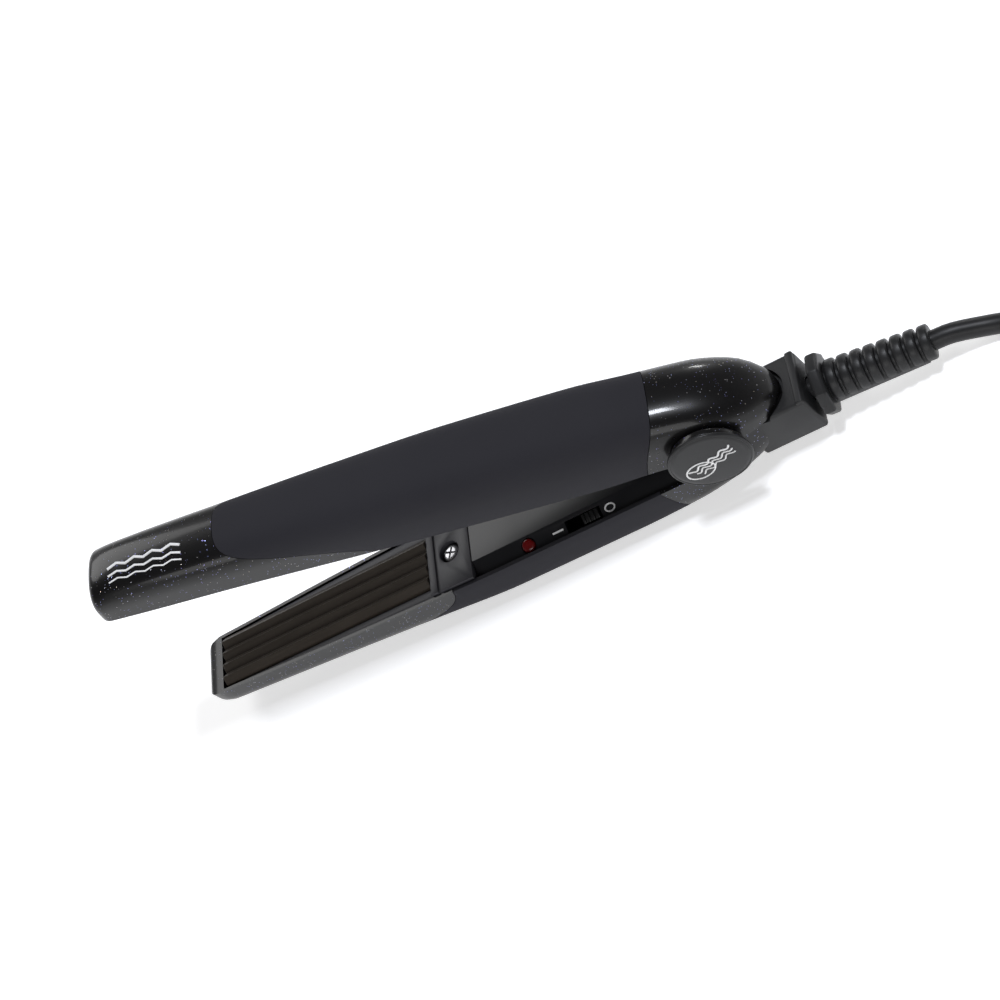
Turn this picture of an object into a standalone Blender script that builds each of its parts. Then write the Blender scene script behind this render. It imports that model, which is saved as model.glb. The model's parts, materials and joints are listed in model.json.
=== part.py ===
"""A small hair crimper: two hinged arms with zigzag plates, an inner cover with a slide switch and
an indicator light, a ringed strain relief and a mains cord folded into a tied hank.

The world is in metres with +Z up. Every helper below takes millimetres and scales them by MM.
Each arm is drawn in its own frame: the hinge axis is the Y axis, the tip lies at -X, and the two
arms meet near Z = -6.5. The lower arm's frame is level, the upper arm's is turned by OPEN_ANGLE.
"""

import math

import bmesh
import bpy
from mathutils import Matrix, Vector

MM = 0.001

# Driving dimensions, in millimetres.
PIVOT_HEIGHT = 20.8  # hinge axis above the surface the lower arm lies on
OPEN_ANGLE = 17.5  # degrees between the arms at rest
GAP = 0.3  # clearance between touching pieces
WALL = 2.4  # shell thickness
TIP_WALL = -157.6  # inner face of both shells' tips
GRIP_THICK = 1.1
REBATE = 0.9  # shell wall left beside the covers
LOWER_LEDGE = -9.9  # level of the ledge that the lower covers rest on
UPPER_LEDGE = -0.9

PLATE_FACE = -6.1  # mean level of the lower plate's ridges
PLATE_GAP = 0.5  # between the two plates when the jaws are shut
PLATE_HALF = 7.4
PLATE_TIP = -157.2
PLATE_END = -87.6
RIDGES = 4
RIDGE_HEIGHT = 1.6
PLATE_THICK = 2.9

BLOCK_END = -74.0  # rear end of the carrier's screw block
COVER_END = -13.0
SCREW_X = -80.3
RIDGE_Y = -6.2  # the edge where the inner cover starts to slope towards the near rim
SLOPE = math.radians(32.0)
LAMP_X = -57.2
SWITCH_X = -38.2
SWITCH_TRAVEL = 4.5
SLOT_LENGTH = 10.4
KNOB_LENGTH = 4.8
KNOB_HALF = 1.3
SLOPE_MID = 2.6  # down the slope from its upper edge to the middle of the switch and the lamp

EAR_RADIUS = 9.2
EAR_INNER = 11.4
EAR_OUTER = 13.2
CAP_RADIUS = 10.4
CAP_THICK = 1.5
LUG_INNER = 5.4  # the far side's lug stands inside the upper shell
LUG_OUTER = 7.7
LUG_RADIUS = 5.4
LUG_FOOT = -18.2
FAR_CAP_RADIUS = 3.6
PIN_RADIUS = 1.5

NOSE_LENGTH = 19.8
TAIL_END = 24.6
TAIL_HALF = 7.7
TAIL_TOP = -4.0
TAIL_BOTTOM = -17.0

RELIEF_X = TAIL_END + 1.3
RELIEF_Z = -10.9
RELIEF_DROOP = math.radians(7.0)
RELIEF_LENGTH = 29.4
RELIEF_RINGS = 8
RELIEF_BASE = 5.2
RELIEF_TIP = 4.4
FLANGE_RADIUS = 8.1
FLANGE_THICK = 3.2

CORD = 5.0  # diameter
HANK_X = 139.0  # middle of the hank
HANK_STRAIGHT = 32.0  # middle of the hank to the centre of an end loop
HANK_LOOP = 20.0  # radius of the outer end loop
HANK_WAIST = 7.7  # the same turn's distance from the middle line under the tie
HANK_LAYERS = 4

# x, half width, rim level, level where the side starts to curve over, level of the back.
LOWER_STATIONS = (
    (-164.6, 4.4, -9.4, -10.2, -12.2),
    (-164.0, 6.2, -8.4, -9.6, -13.4),
    (-162.6, 7.8, -7.4, -9.1, -14.8),
    (-160.0, 8.8, -6.9, -8.9, -15.4),
    (-150.0, 9.2, -6.9, -9.0, -16.0),
    (-122.0, 10.4, -6.9, -9.6, -17.0),
    (-90.0, 11.4, -6.9, -10.2, -19.2),
    (-66.0, 12.0, -6.9, -10.6, -21.0),
    (-30.0, 12.1, -6.9, -10.6, -21.0),
    (-12.0, 12.1, -6.9, -10.4, -20.0),
    (-3.0, 11.8, -6.2, -10.0, -18.4),
    (5.0, 9.6, -5.0, -9.6, -17.3),
    (10.0, 8.0, TAIL_TOP, -8.0, -16.6),
    (14.0, 7.0, TAIL_TOP - 0.4, -8.0, -16.0),
)
UPPER_STATIONS = (
    (-161.4, 7.2, -5.6, -4.0, 0.6),
    (-160.6, 8.6, -6.4, -3.9, 2.8),
    (-159.0, 9.2, -6.6, -3.6, 4.2),
    (-152.0, 9.4, -6.5, -2.6, 5.6),
    (-122.0, 10.2, -5.4, -0.4, 8.4),
    (-90.0, 11.3, -4.4, 1.4, 10.8),
    (-60.0, 12.0, -3.6, 2.6, 12.6),
    (-30.0, 12.0, -3.6, 3.0, 13.4),
    (-12.0, 11.1, -3.6, 3.2, 13.0),
    (0.0, 11.0, -3.2, 3.2, 12.0),
    (6.0, 10.4, -1.4, 3.0, 10.6),
    (11.0, 9.3, -0.4, 2.6, 8.8),
    (15.0, 7.4, 0.0, 2.0, 6.6),
    (18.0, 4.8, 0.2, 1.6, 4.4),
    (NOSE_LENGTH, 1.6, 0.3, 1.0, 2.0),
)
LOWER_POWER = 3.4
UPPER_POWER = 2.6
ARC_STEPS = 14
SEAM_TURN = 0.13  # keeps the facets of crossing round bodies from lining up

CUTTER_RISE = 12.0  # how far a cutter runs on past the rim it opens
BOSS_RADIUS = 3.0
BOSS_HOLE = 1.5
SCREW_SHANK = 1.15
LEAD_RADIUS = 0.8
UP = (0.0, 0.0, 1.0)
DOWN = (0.0, 0.0, -1.0)
BACKWARDS = (1.0, 0.0, 0.0)  # from the tip towards the cord


def new_collection(name, hidden=False):
    """A collection under the scene's own."""
    made = bpy.data.collections.new(name)
    bpy.context.scene.collection.children.link(made)
    made.hide_render = hidden
    return made


def clear_scene():
    """Removes what the startup file holds."""
    for obj in list(bpy.data.objects):
        bpy.data.objects.remove(obj, do_unlink=True)


def material(name, colour, roughness, metallic=0.0):
    """A plain Principled material."""
    made = bpy.data.materials.new(name)
    made.use_nodes = True
    shader = made.node_tree.nodes["Principled BSDF"]
    shader.inputs["Base Color"].default_value = (*colour, 1.0)
    shader.inputs["Roughness"].default_value = roughness
    shader.inputs["Metallic"].default_value = metallic
    return made


clear_scene()
PARTS = new_collection("hair_crimper")
HELPERS = new_collection("helpers", hidden=True)


def empty(name, place, turn=0.0, parent=None):
    """An empty that carries the pieces of one arm or one joint."""
    made = bpy.data.objects.new(name, None)
    made.location = [v * MM for v in place]
    made.rotation_euler = (0.0, turn, 0.0)
    made.parent = parent
    PARTS.objects.link(made)
    return made


def place(name, mesh, parent, look, helper=False):
    """Links a mesh as a part, or as a hidden helper."""
    made = bpy.data.objects.new(name, mesh)
    made.parent = parent
    if helper:
        made.hide_render = True
        made.display_type = "WIRE"
        HELPERS.objects.link(made)
        return made
    mesh.materials.append(look)
    mesh.shade_smooth()
    mesh.set_sharp_from_angle(angle=math.radians(35.0))
    PARTS.objects.link(made)
    return made


def finish_mesh(name, bm):
    """Scales a bmesh drawn in millimetres and makes it a mesh with its faces out."""
    bmesh.ops.scale(bm, vec=(MM, MM, MM), verts=bm.verts)
    bmesh.ops.recalc_face_normals(bm, faces=bm.faces)
    mesh = bpy.data.meshes.new(name)
    bm.to_mesh(mesh)
    bm.free()
    return mesh


def box(name, low, high, parent, look=None, bevel=0.0, helper=False):
    """A box between two corners, with its edges rounded by bevel."""
    bm = bmesh.new()
    bmesh.ops.create_cube(bm, size=1.0)
    for vert in bm.verts:
        vert.co = [a + (b - a) * (c + 0.5) for a, b, c in zip(low, high, vert.co)]
    if bevel:
        bmesh.ops.bevel(bm, geom=bm.edges[:], offset=bevel, segments=2, profile=0.5, affect="EDGES")
    return place(name, finish_mesh(name, bm), parent, look, helper)


def loft(name, loops, parent, look=None, helper=False):
    """A closed body through loops that all have the same number of points."""
    bm = bmesh.new()
    rings = [[bm.verts.new(point) for point in loop] for loop in loops]
    for ring, after in zip(rings, rings[1:]):
        for i in range(len(ring)):
            j = (i + 1) % len(ring)
            bm.faces.new((ring[i], ring[j], after[j], after[i]))
    bm.faces.new(rings[0])
    bm.faces.new(rings[-1])
    return place(name, finish_mesh(name, bm), parent, look, helper)


def prism(name, outline, axis, low, high, parent, look=None, helper=False):
    """An outline pushed along an axis: "x" takes (y, z), "y" takes (x, z) and "z" takes (x, y)."""
    spot = {"x": 0, "y": 1, "z": 2}[axis]
    push = [0.0, 0.0, 0.0]
    push[spot] = high - low
    bm = bmesh.new()
    face = bm.faces.new([bm.verts.new((*point[:spot], low, *point[spot:])) for point in outline])
    made = bmesh.ops.extrude_face_region(bm, geom=[face])
    raised = [item for item in made["geom"] if isinstance(item, bmesh.types.BMVert)]
    bmesh.ops.translate(bm, vec=push, verts=raised)
    return place(name, finish_mesh(name, bm), parent, look, helper)


def rod(name, start, along, profile, parent, look=None, sides=24, helper=False):
    """A body turned about a straight line: profile holds (distance along, radius) pairs."""
    bm = bmesh.new()
    line = [(0.0, profile[0][0]), *((radius, distance) for distance, radius in profile), (0.0, profile[-1][0])]
    verts = [bm.verts.new((radius, 0.0, distance)) for radius, distance in line]
    edges = [bm.edges.new(pair) for pair in zip(verts, verts[1:])]
    turn = {"cent": (0.0, 0.0, 0.0), "axis": UP, "angle": 2.0 * math.pi, "steps": sides, "use_merge": True}
    bmesh.ops.spin(bm, geom=[*verts, *edges], **turn)
    bmesh.ops.remove_doubles(bm, verts=bm.verts, dist=0.001)
    stand = Vector(UP).rotation_difference(Vector(along)).to_matrix().to_4x4()
    stand = stand @ Matrix.Rotation(SEAM_TURN, 4, "Z")
    bmesh.ops.transform(bm, matrix=Matrix.Translation(start) @ stand, verts=bm.verts)
    return place(name, finish_mesh(name, bm), parent, look, helper)


def tube(name, points, radius, parent, look, sides=2):
    """A wire or cord along its points, as a curve with filled caps."""
    curve = bpy.data.curves.new(name, "CURVE")
    curve.dimensions = "3D"
    curve.bevel_depth = radius * MM
    curve.bevel_resolution = sides
    curve.use_fill_caps = True
    spline = curve.splines.new("POLY")
    spline.points.add(len(points) - 1)
    for target, point in zip(spline.points, points):
        target.co = (*[v * MM for v in point], 1.0)
    curve.materials.append(look)
    made = bpy.data.objects.new(name, curve)
    made.parent = parent
    PARTS.objects.link(made)
    return made


def smooth_line(points, steps):
    """Points along a smooth curve through the given ones."""
    padded = [points[0], *points, points[-1]]
    made = []
    for p0, p1, p2, p3 in zip(padded, padded[1:], padded[2:], padded[3:]):
        for i in range(steps):
            t = i / steps
            point = []
            for a, b, c, d in zip(p0, p1, p2, p3):
                square = 2 * a - 5 * b + 4 * c - d
                cube = 3 * b - a - 3 * c + d
                point.append(0.5 * (2 * b + (c - a) * t + square * t * t + cube * t**3))
            made.append(tuple(point))
    return [*made, tuple(points[-1])]


def bezier(p0, p1, p2, p3, steps):
    """Points along one cubic curve."""
    made = []
    for i in range(steps + 1):
        t = i / steps
        s = 1.0 - t
        weights = (s**3, 3 * s * s * t, 3 * s * t * t, t**3)
        made.append(tuple(sum(w * v for w, v in zip(weights, values)) for values in zip(p0, p1, p2, p3)))
    return made


def change(target, other, how):
    """Cuts, joins or keeps the common part of two bodies."""
    modifier = target.modifiers.new(f"{how.lower()}_{other.name}", "BOOLEAN")
    modifier.object = other
    modifier.operation = how
    modifier.solver = "EXACT"


def cut(target, *cutters):
    """Takes each cutter out of the target."""
    for cutter in cutters:
        change(target, cutter, "DIFFERENCE")


def section(x, half, rim, shoulder, back, power, inset=0.0, rise=0.0):
    """One loop round an arm: flat at its rim, straight sides, and a rounded back.

    The inset moves the sides and the back inwards, and rise carries the rim past the arm.
    """
    away = 1.0 if back > rim else -1.0
    half -= inset
    back -= away * inset
    shoulder = min(shoulder, back - 0.4) if away > 0 else max(shoulder, back + 0.4)
    loop = [(x, half, rim - away * rise)]
    for i in range(ARC_STEPS + 1):
        a = math.pi * i / ARC_STEPS
        y = half * math.copysign(abs(math.cos(a)) ** (2.0 / power), math.cos(a))
        z = shoulder + (back - shoulder) * abs(math.sin(a)) ** (2.0 / power)
        loop.append((x, y, z))
    loop.append((x, -half, rim - away * rise))
    return loop


def station_at(stations, x):
    """The stations' values at a place between them."""
    for low, high in zip(stations, stations[1:]):
        if low[0] <= x <= high[0]:
            t = (x - low[0]) / (high[0] - low[0])
            return tuple(a + (b - a) * t for a, b in zip(low, high))
    return stations[0] if x < stations[0][0] else stations[-1]


def arm_loops(stations, power, start, end, inset, rise=0.0):
    """The arm's sections between two places, all moved inwards."""
    inside = [s for s in stations if start < s[0] < end]
    chosen = [station_at(stations, start), *inside, station_at(stations, end)]
    return [section(*s, power, inset, rise) for s in chosen]


def half_at(stations, x):
    """The arm's half width at a place."""
    return station_at(stations, x)[1]


def upper_grip_outline():
    """The upper grip's side view: a rounded front high on the arm, and an edge that runs down to the rim."""
    front = bezier((-78.0, -8.0), (-96.0, 3.5), (-124.6, 3.0), (-124.6, 9.5), 8)
    back = bezier((-10.0, 16.0), (-10.6, 9.0), (-15.2, 6.0), (-16.6, -8.0), 5)
    return [*front, (-124.6, 40.0), (-10.0, 40.0), *back]


def lower_grip_outline():
    """The lower grip's side view: it leaves the rim square on and sweeps forward under the arm."""
    front = bezier((-81.0, -4.0), (-80.0, -15.0), (-92.0, -14.5), (-116.0, -19.5), 8)
    back = bezier((-13.5, -24.0), (-14.0, -18.0), (-18.0, -13.0), (-18.4, -4.0), 5)
    return [*front, (-118.0, -40.0), (-13.5, -40.0), *back]


def grip_and_recess(prefix, shell, stations, power, outline, parent, look):
    """A rubber grip in a shallow recess of its shell."""
    outline = facing_out(outline)
    ends = (stations[0][0], stations[-1][0])
    grip = loft(f"{prefix}_grip", arm_loops(stations, power, *ends, 0.0), parent, look)
    region = prism(f"{prefix}_grip_region", outline, "y", -30.0, 30.0, parent, helper=True)
    change(grip, region, "INTERSECT")
    loops = arm_loops(stations, power, *ends, GRIP_THICK, CUTTER_RISE)
    cut(grip, loft(f"{prefix}_under_grip", loops, parent, helper=True))
    recess = prism(f"{prefix}_recess", widened(outline, GAP), "y", -30.0, 30.0, parent, helper=True)
    loops = arm_loops(stations, power, *ends, GRIP_THICK + GAP, CUTTER_RISE)
    cut(recess, loft(f"{prefix}_recess_floor", loops, parent, helper=True))
    cut(shell, recess)
    return grip


def widened(outline, by):
    """An outline pushed outwards from its middle line, for the recess round a grip."""
    made = []
    count = len(outline)
    for i in range(count):
        before, here, after = outline[i - 1], outline[i], outline[(i + 1) % count]
        dx, dz = after[0] - before[0], after[1] - before[1]
        size = math.hypot(dx, dz)
        made.append((here[0] + by * dz / size, here[1] - by * dx / size))
    return made


def facing_out(outline):
    """The outline in the order that makes widened() push it outwards."""
    turn = sum(a[0] * b[1] - b[0] * a[1] for a, b in zip(outline, [*outline[1:], outline[0]]))
    return outline if turn > 0 else outline[::-1]


def slope_point(x, down, up):
    """A place over the inner cover's slope: down from its upper edge, and up off its face."""
    y = RIDGE_Y - down * math.cos(SLOPE) - up * math.sin(SLOPE)
    return (x, y, PLATE_FACE - down * math.sin(SLOPE) + up * math.cos(SLOPE))


def slope_box(name, x0, x1, down0, down1, up0, up1, parent, look=None, helper=False):
    """A box lined up with the inner cover's slope."""
    corners = ((down0, up0), (down1, up0), (down1, up1), (down0, up1))
    loops = [[slope_point(x, down, up) for down, up in corners] for x in (x0, x1)]
    return loft(name, loops, parent, look, helper)


def slope_rod(name, x, down, profile, parent, look=None, sides=20, helper=False):
    """A turned body that stands square on the slope; profile holds (height, radius) pairs."""
    along = (0.0, -math.sin(SLOPE), math.cos(SLOPE))
    return rod(name, slope_point(x, down, 0.0), along, profile, parent, look, sides, helper)


def near_ear(parent):
    """The round ear of the lower shell, outside the upper shell on the near side."""
    deep = EAR_OUTER - EAR_INNER
    profile = ((0.0, EAR_RADIUS), (deep - 0.4, EAR_RADIUS), (deep, EAR_RADIUS - 0.4))
    return rod("near_ear", (0.0, -EAR_INNER, 0.0), (0.0, -1.0, 0.0), profile, parent, sides=32, helper=True)


def far_lug(parent):
    """The lug that stands on the lower shell's floor, inside the upper shell on the far side."""
    angles = [math.pi * i / 12 for i in range(13)]
    head = [(LUG_RADIUS * math.cos(a), LUG_RADIUS * math.sin(a)) for a in angles]
    outline = [*head, (-LUG_RADIUS, LUG_FOOT), (-0.4, LUG_FOOT)]
    return prism("far_lug", outline, "y", LUG_INNER, LUG_OUTER, parent, helper=True)


def tail_block(parent):
    """The square block that the cord comes out of, with a low rib across its rear edge."""
    low, high = (7.2, -TAIL_HALF, TAIL_BOTTOM), (TAIL_END, TAIL_HALF, TAIL_TOP)
    block = box("tail_block", low, high, parent, bevel=0.7, helper=True)
    low, high = (TAIL_END - 2.2, -TAIL_HALF, TAIL_TOP - 1.0), (TAIL_END - 0.2, TAIL_HALF, TAIL_TOP + 0.6)
    rib = box("tail_rib", low, high, parent, bevel=0.4, helper=True)
    return block, rib


def below_the_base(parent):
    """Everything under the flat that the lower arm lies on."""
    return box(
        "below_the_base", (-200.0, -40.0, -60.0), (60.0, 40.0, -PIVOT_HEIGHT), parent, helper=True
    )


def pin_bore(name, radius, start, end, parent):
    """A hole along the hinge axis."""
    profile = ((0.0, radius), (end - start, radius))
    return rod(name, (0.0, start, 0.0), (0.0, 1.0, 0.0), profile, parent, helper=True)


def bore(name, start, along, radius, length, parent):
    """A plain round cutter or post."""
    return rod(name, start, along, ((0.0, radius), (length, radius)), parent, helper=True)


def lower_shell(parent, look, base):
    """The hollow lower shell, with its ear, its lug, its screw boss and the cord block."""
    ends = (LOWER_STATIONS[0][0], LOWER_STATIONS[-1][0])
    shell = loft("lower_shell", arm_loops(LOWER_STATIONS, LOWER_POWER, *ends, 0.0), parent, look)
    loops = arm_loops(LOWER_STATIONS, LOWER_POWER, TIP_WALL, 3.0, WALL, CUTTER_RISE)
    hollow = loft("lower_hollow", loops, parent, helper=True)
    rebate_loops = []
    for x in (-158.4, -150.0, -122.0, -90.0, -66.0, -12.4):
        h = half_at(LOWER_STATIONS, x) - REBATE
        rebate_loops.append([(x, -h, LOWER_LEDGE), (x, h, LOWER_LEDGE), (x, h, 0.0), (x, -h, 0.0)])
    rebate = loft("lower_rebate", rebate_loops, parent, helper=True)
    for piece in tail_block(parent):
        change(shell, piece, "UNION")
    oval = [(20.4 * math.cos(a), 11.3 * math.sin(a)) for a in (math.pi * i / 20 for i in range(40))]
    nose_pocket = prism("nose_pocket", oval, "z", -9.5, 12.0, parent, helper=True)
    under_nose = [(-22.0, -10.0), (3.0, -10.0), (3.0, -3.8), (6.0, -3.9), (10.4, -4.3), (14.3, -5.1), (22.0, -7.0)]
    over_neck = prism("over_neck", [*under_nose, (22.0, 14.0), (-22.0, 14.0)], "y", -14.0, 14.0, parent, helper=True)
    change(nose_pocket, over_neck, "INTERSECT")
    cut(shell, hollow, rebate, nose_pocket, base)
    change(shell, near_ear(parent), "UNION")
    change(shell, far_lug(parent), "UNION")
    boss = bore("lower_boss", (SCREW_X, 0.0, -18.6), UP, BOSS_RADIUS, 8.2, parent)
    change(shell, boss, "UNION")
    hole = bore("lower_boss_hole", (SCREW_X, 0.0, -16.4), UP, BOSS_HOLE, 9.0, parent)
    channel = bore("cord_channel", (1.0, 0.0, RELIEF_Z), BACKWARDS, 3.2, 26.0, parent)
    cut(shell, channel, hole, pin_bore("ear_hole", PIN_RADIUS + GAP, -20.0, 20.0, parent))
    return shell


def upper_shell(parent, look):
    """The hollow upper shell, whose round nose runs on past the hinge."""
    ends = (UPPER_STATIONS[0][0], NOSE_LENGTH)
    shell = loft("upper_shell", arm_loops(UPPER_STATIONS, UPPER_POWER, *ends, 0.0), parent, look)
    loops = arm_loops(UPPER_STATIONS, UPPER_POWER, TIP_WALL, 15.6, WALL, CUTTER_RISE)
    hollow = loft("upper_hollow", loops, parent, helper=True)
    rebate_loops = []
    for x in (-158.4, -152.0, -122.0, -90.0, -60.0, -30.0, -13.0):
        h = half_at(UPPER_STATIONS, x) - REBATE
        rebate_loops.append([(x, -h, -14.0), (x, h, -14.0), (x, h, UPPER_LEDGE), (x, -h, UPPER_LEDGE)])
    rebate = loft("upper_rebate", rebate_loops, parent, helper=True)
    cut(shell, hollow, rebate)
    boss = bore("upper_boss", (SCREW_X, 0.0, 10.0), DOWN, BOSS_RADIUS, 10.6, parent)
    change(shell, boss, "UNION")
    boss_hole = bore("upper_boss_hole", (SCREW_X, 0.0, -2.0), UP, BOSS_HOLE, 9.0, parent)
    recess = pin_bore("far_cap_recess", FAR_CAP_RADIUS + GAP, 10.0, 14.0, parent)
    cut(shell, boss_hole, pin_bore("nose_hole", PIN_RADIUS + GAP, -20.0, 20.0, parent), recess)
    return shell


def ridged_plate(name, upward, face, parent, look):
    """A heating plate whose face is folded into lengthwise ridges; upward is 1 for the lower plate."""
    pitch = 2.0 * PLATE_HALF / RIDGES
    outline = []
    for i in range(2 * RIDGES + 1):
        y = -PLATE_HALF + i * pitch / 2.0
        outline.append((y, face + (RIDGE_HEIGHT / 2.0 if i % 2 else -RIDGE_HEIGHT / 2.0)))
    back = PLATE_FACE - PLATE_THICK if upward > 0 else PLATE_FACE + PLATE_GAP + PLATE_THICK
    outline += [(PLATE_HALF, back), (-PLATE_HALF, back)]
    return prism(name, outline, "x", PLATE_TIP, PLATE_END, parent, look)


def carrier(name, stations, face, block_face, floor, parent, look, away):
    """The plate's tray and, behind it, the block that the screw goes through.

    Away is -1 where the arm's back lies below its rim and 1 where it lies above.
    """
    loops = []
    for x in (-150.0, -122.0, -90.0, BLOCK_END):
        h = half_at(stations, x) - REBATE - GAP
        loops.append([(x, -h, block_face), (x, h, block_face), (x, h, floor), (x, -h, floor)])
    body = loft(name, loops, parent, look)
    wide = PLATE_HALF + GAP
    low, high = min(face, block_face) - 4.0, max(face, block_face) + 4.0
    tray = box(f"{name}_pocket", (-170.0, -wide, low), (PLATE_END + GAP, wide, high), parent, helper=True)
    low, high = sorted((block_face - away * 4.0, block_face + away * 1.3))
    lowered = box(f"{name}_step", (-170.0, -20.0, low), (PLATE_END + GAP, 20.0, high), parent, helper=True)
    hole = bore(f"{name}_hole", (SCREW_X, 0.0, -20.0), UP, 1.6, 40.0, parent)
    seat = bore(f"{name}_seat", (SCREW_X, 0.0, block_face - away * 2.0), (0.0, 0.0, away), 3.0, 4.2, parent)
    cut(body, tray, lowered, hole, seat)
    return body


def screw(name, place_at, along, parent, look, head=2.5, length=7.0):
    """A screw: its head's top at the given place, pointing along a direction."""
    profile = [(0.0, head * 0.72), (0.35, head), (1.2, head)]
    profile += [(1.2, SCREW_SHANK), (length, SCREW_SHANK), (length + 0.8, 0.4)]
    return rod(name, place_at, along, profile, parent, look, sides=18)


def inner_cover(parent, look):
    """The lower arm's cover, with the slope that the switch and the lamp look out of."""
    near_z = PLATE_FACE - (10.8 + RIDGE_Y) * math.tan(SLOPE)
    loops = []
    for x in (BLOCK_END + GAP, COVER_END):
        far = half_at(LOWER_STATIONS, x) - REBATE - GAP
        outside = [(-far, near_z), (RIDGE_Y, PLATE_FACE), (far - 0.8, PLATE_FACE), (far, PLATE_FACE - 0.8)]
        inside = [(far, -8.1), (-5.4, -8.1), (-9.0, -9.6), (-far, -9.6)]
        loops.append([(x, y, z) for y, z in outside + inside])
    cover = loft("inner_cover", loops, parent, look)
    half = SLOT_LENGTH / 2.0
    middle = SWITCH_X - SWITCH_TRAVEL / 2.0
    low, high = SLOPE_MID - KNOB_HALF - GAP, SLOPE_MID + KNOB_HALF + GAP
    slot = slope_box("switch_slot", middle - half, middle + half, low, high, -6.0, 3.0, parent, helper=True)
    lamp_hole = slope_rod("lamp_hole", LAMP_X, SLOPE_MID, ((-6.0, 2.1), (3.0, 2.1)), parent, helper=True)
    cut(cover, slot, lamp_hole)
    return cover


def upper_inner_cover(parent, look):
    """The flat cover over the upper arm's hollow."""
    loops = []
    for x in (BLOCK_END + GAP, -60.0, -30.0, COVER_END - 1.0):
        h = half_at(UPPER_STATIONS, x) - REBATE - GAP
        low = station_at(UPPER_STATIONS, x)[2] + 0.3
        loops.append([(x, -h, low), (x, h, low), (x, h, low + 1.6), (x, -h, low + 1.6)])
    return loft("upper_inner_cover", loops, parent, look)


def heater_and_clip(prefix, away, back, parent, bar, clip):
    """The heater bar behind a plate, and the leaf that presses it there."""
    low, high = sorted((back + away * GAP, back + away * 2.3))
    box(f"{prefix}_heater", (-140.0, -4.2, low), (-96.0, 4.2, high), parent, bar, bevel=0.3)
    near = back + away * 2.6
    outline = []
    leaf = [(-136.0, 0.9), (-127.0, 0.0), (-118.0, 0.9), (-109.0, 0.0), (-100.0, 0.9)]
    outline += [(x, near + away * z) for x, z in leaf]
    outline += [(x, near + away * (z + 0.5)) for x, z in reversed(leaf)]
    prism(f"{prefix}_heater_clip", outline, "y", -2.6, 2.6, parent, clip)


def hinge(lower, upper, steel, cap):
    """The hinge pin, its two covers and the spring that opens the arms."""
    start, end = -EAR_OUTER + 0.2, 9.7
    profile = ((0.0, PIN_RADIUS), (end - start, PIN_RADIUS))
    rod("hinge_pin", (0.0, start, 0.0), (0.0, 1.0, 0.0), profile, lower, steel, sides=20)
    profile = (
        (0.0, CAP_RADIUS), (CAP_THICK * 0.55, CAP_RADIUS), (CAP_THICK * 0.85, CAP_RADIUS - 0.7),
        (CAP_THICK, CAP_RADIUS - 2.4),
    )
    rod("hinge_cap_near", (0.0, -EAR_OUTER - GAP, 0.0), (0.0, -1.0, 0.0), profile, lower, cap, sides=40)
    profile = ((0.0, FAR_CAP_RADIUS), (0.6, FAR_CAP_RADIUS), (0.9, FAR_CAP_RADIUS - 0.5))
    rod("hinge_cap_far", (0.0, 10.3, 0.0), (0.0, 1.0, 0.0), profile, upper, cap, sides=24)
    coil = []
    turns, radius = 3.5, 2.9
    steps = 12
    for i in range(int(turns * steps) + 1):
        a = 2.0 * math.pi * i / steps
        coil.append((radius * math.cos(a), -2.6 + 5.2 * i / (turns * steps), radius * math.sin(a)))
    tube("opening_spring", [(7.5, -2.6, -1.5), *coil, (-9.5, 2.6, 0.6)], 0.45, lower, steel)


def electrics(parent, looks):
    """What works under the inner cover."""
    box("circuit_board", (-68.0, -6.0, -15.2), (-20.0, 6.0, -13.8), parent, looks["board"], bevel=0.2)
    low, high = SWITCH_X - SWITCH_TRAVEL / 2.0 - 6.4, SWITCH_X - SWITCH_TRAVEL / 2.0 + 6.4
    box("switch_body", (low, -9.0, -13.4), (high, -4.2, -11.1), parent, looks["switch"], bevel=0.3)
    profile = ((0.0, 0.4), (1.6, 0.4), (1.6, 1.7), (9.6, 1.7), (11.0, 0.4), (12.6, 0.4))
    rod("thermal_fuse", (-66.0, 2.6, -11.6), BACKWARDS, profile, parent, looks["steel"], sides=14)
    profile = ((-5.0, 1.2), (-2.6, 1.2), (-2.0, 0.9), (-1.7, 0.4))
    slope_rod("indicator_led", LAMP_X, SLOPE_MID, profile, parent, looks["lamp"], sides=12)
    profile = ((-1.2, 1.8), (0.1, 1.8), (0.45, 1.4), (0.6, 0.7))
    slope_rod("indicator_lens", LAMP_X, SLOPE_MID, profile, parent, looks["lens"], sides=20)
    for side, name, look in ((-1.0, "live_lead", looks["brown"]), (1.0, "neutral_lead", looks["blue"])):
        line = ((1.0, 1.5, RELIEF_Z), (-8.0, 2.4, -11.6), (-16.0, 3.2, -12.4), (-26.0, 3.4, -12.5))
        line = [(x, side * y, z) for x, y, z in line]
        tube(name, smooth_line(line, 3), LEAD_RADIUS, parent, look)


def cord_clamp(parent, look, steel):
    """The bar that holds the cord inside the tail, and its two screws."""
    bar = box("cord_clamp", (-11.4, -6.2, -9.9), (-7.2, 6.2, -8.3), parent, look, bevel=0.3)
    for side, name in ((-1.0, "near"), (1.0, "far")):
        cut(bar, bore(f"clamp_hole_{name}", (-9.3, side * 4.6, -20.0), UP, 1.45, 40.0, parent))
        screw(f"clamp_screw_{name}", (-9.3, side * 4.6, -7.0), DOWN, parent, steel, head=1.9, length=5.0)


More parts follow.
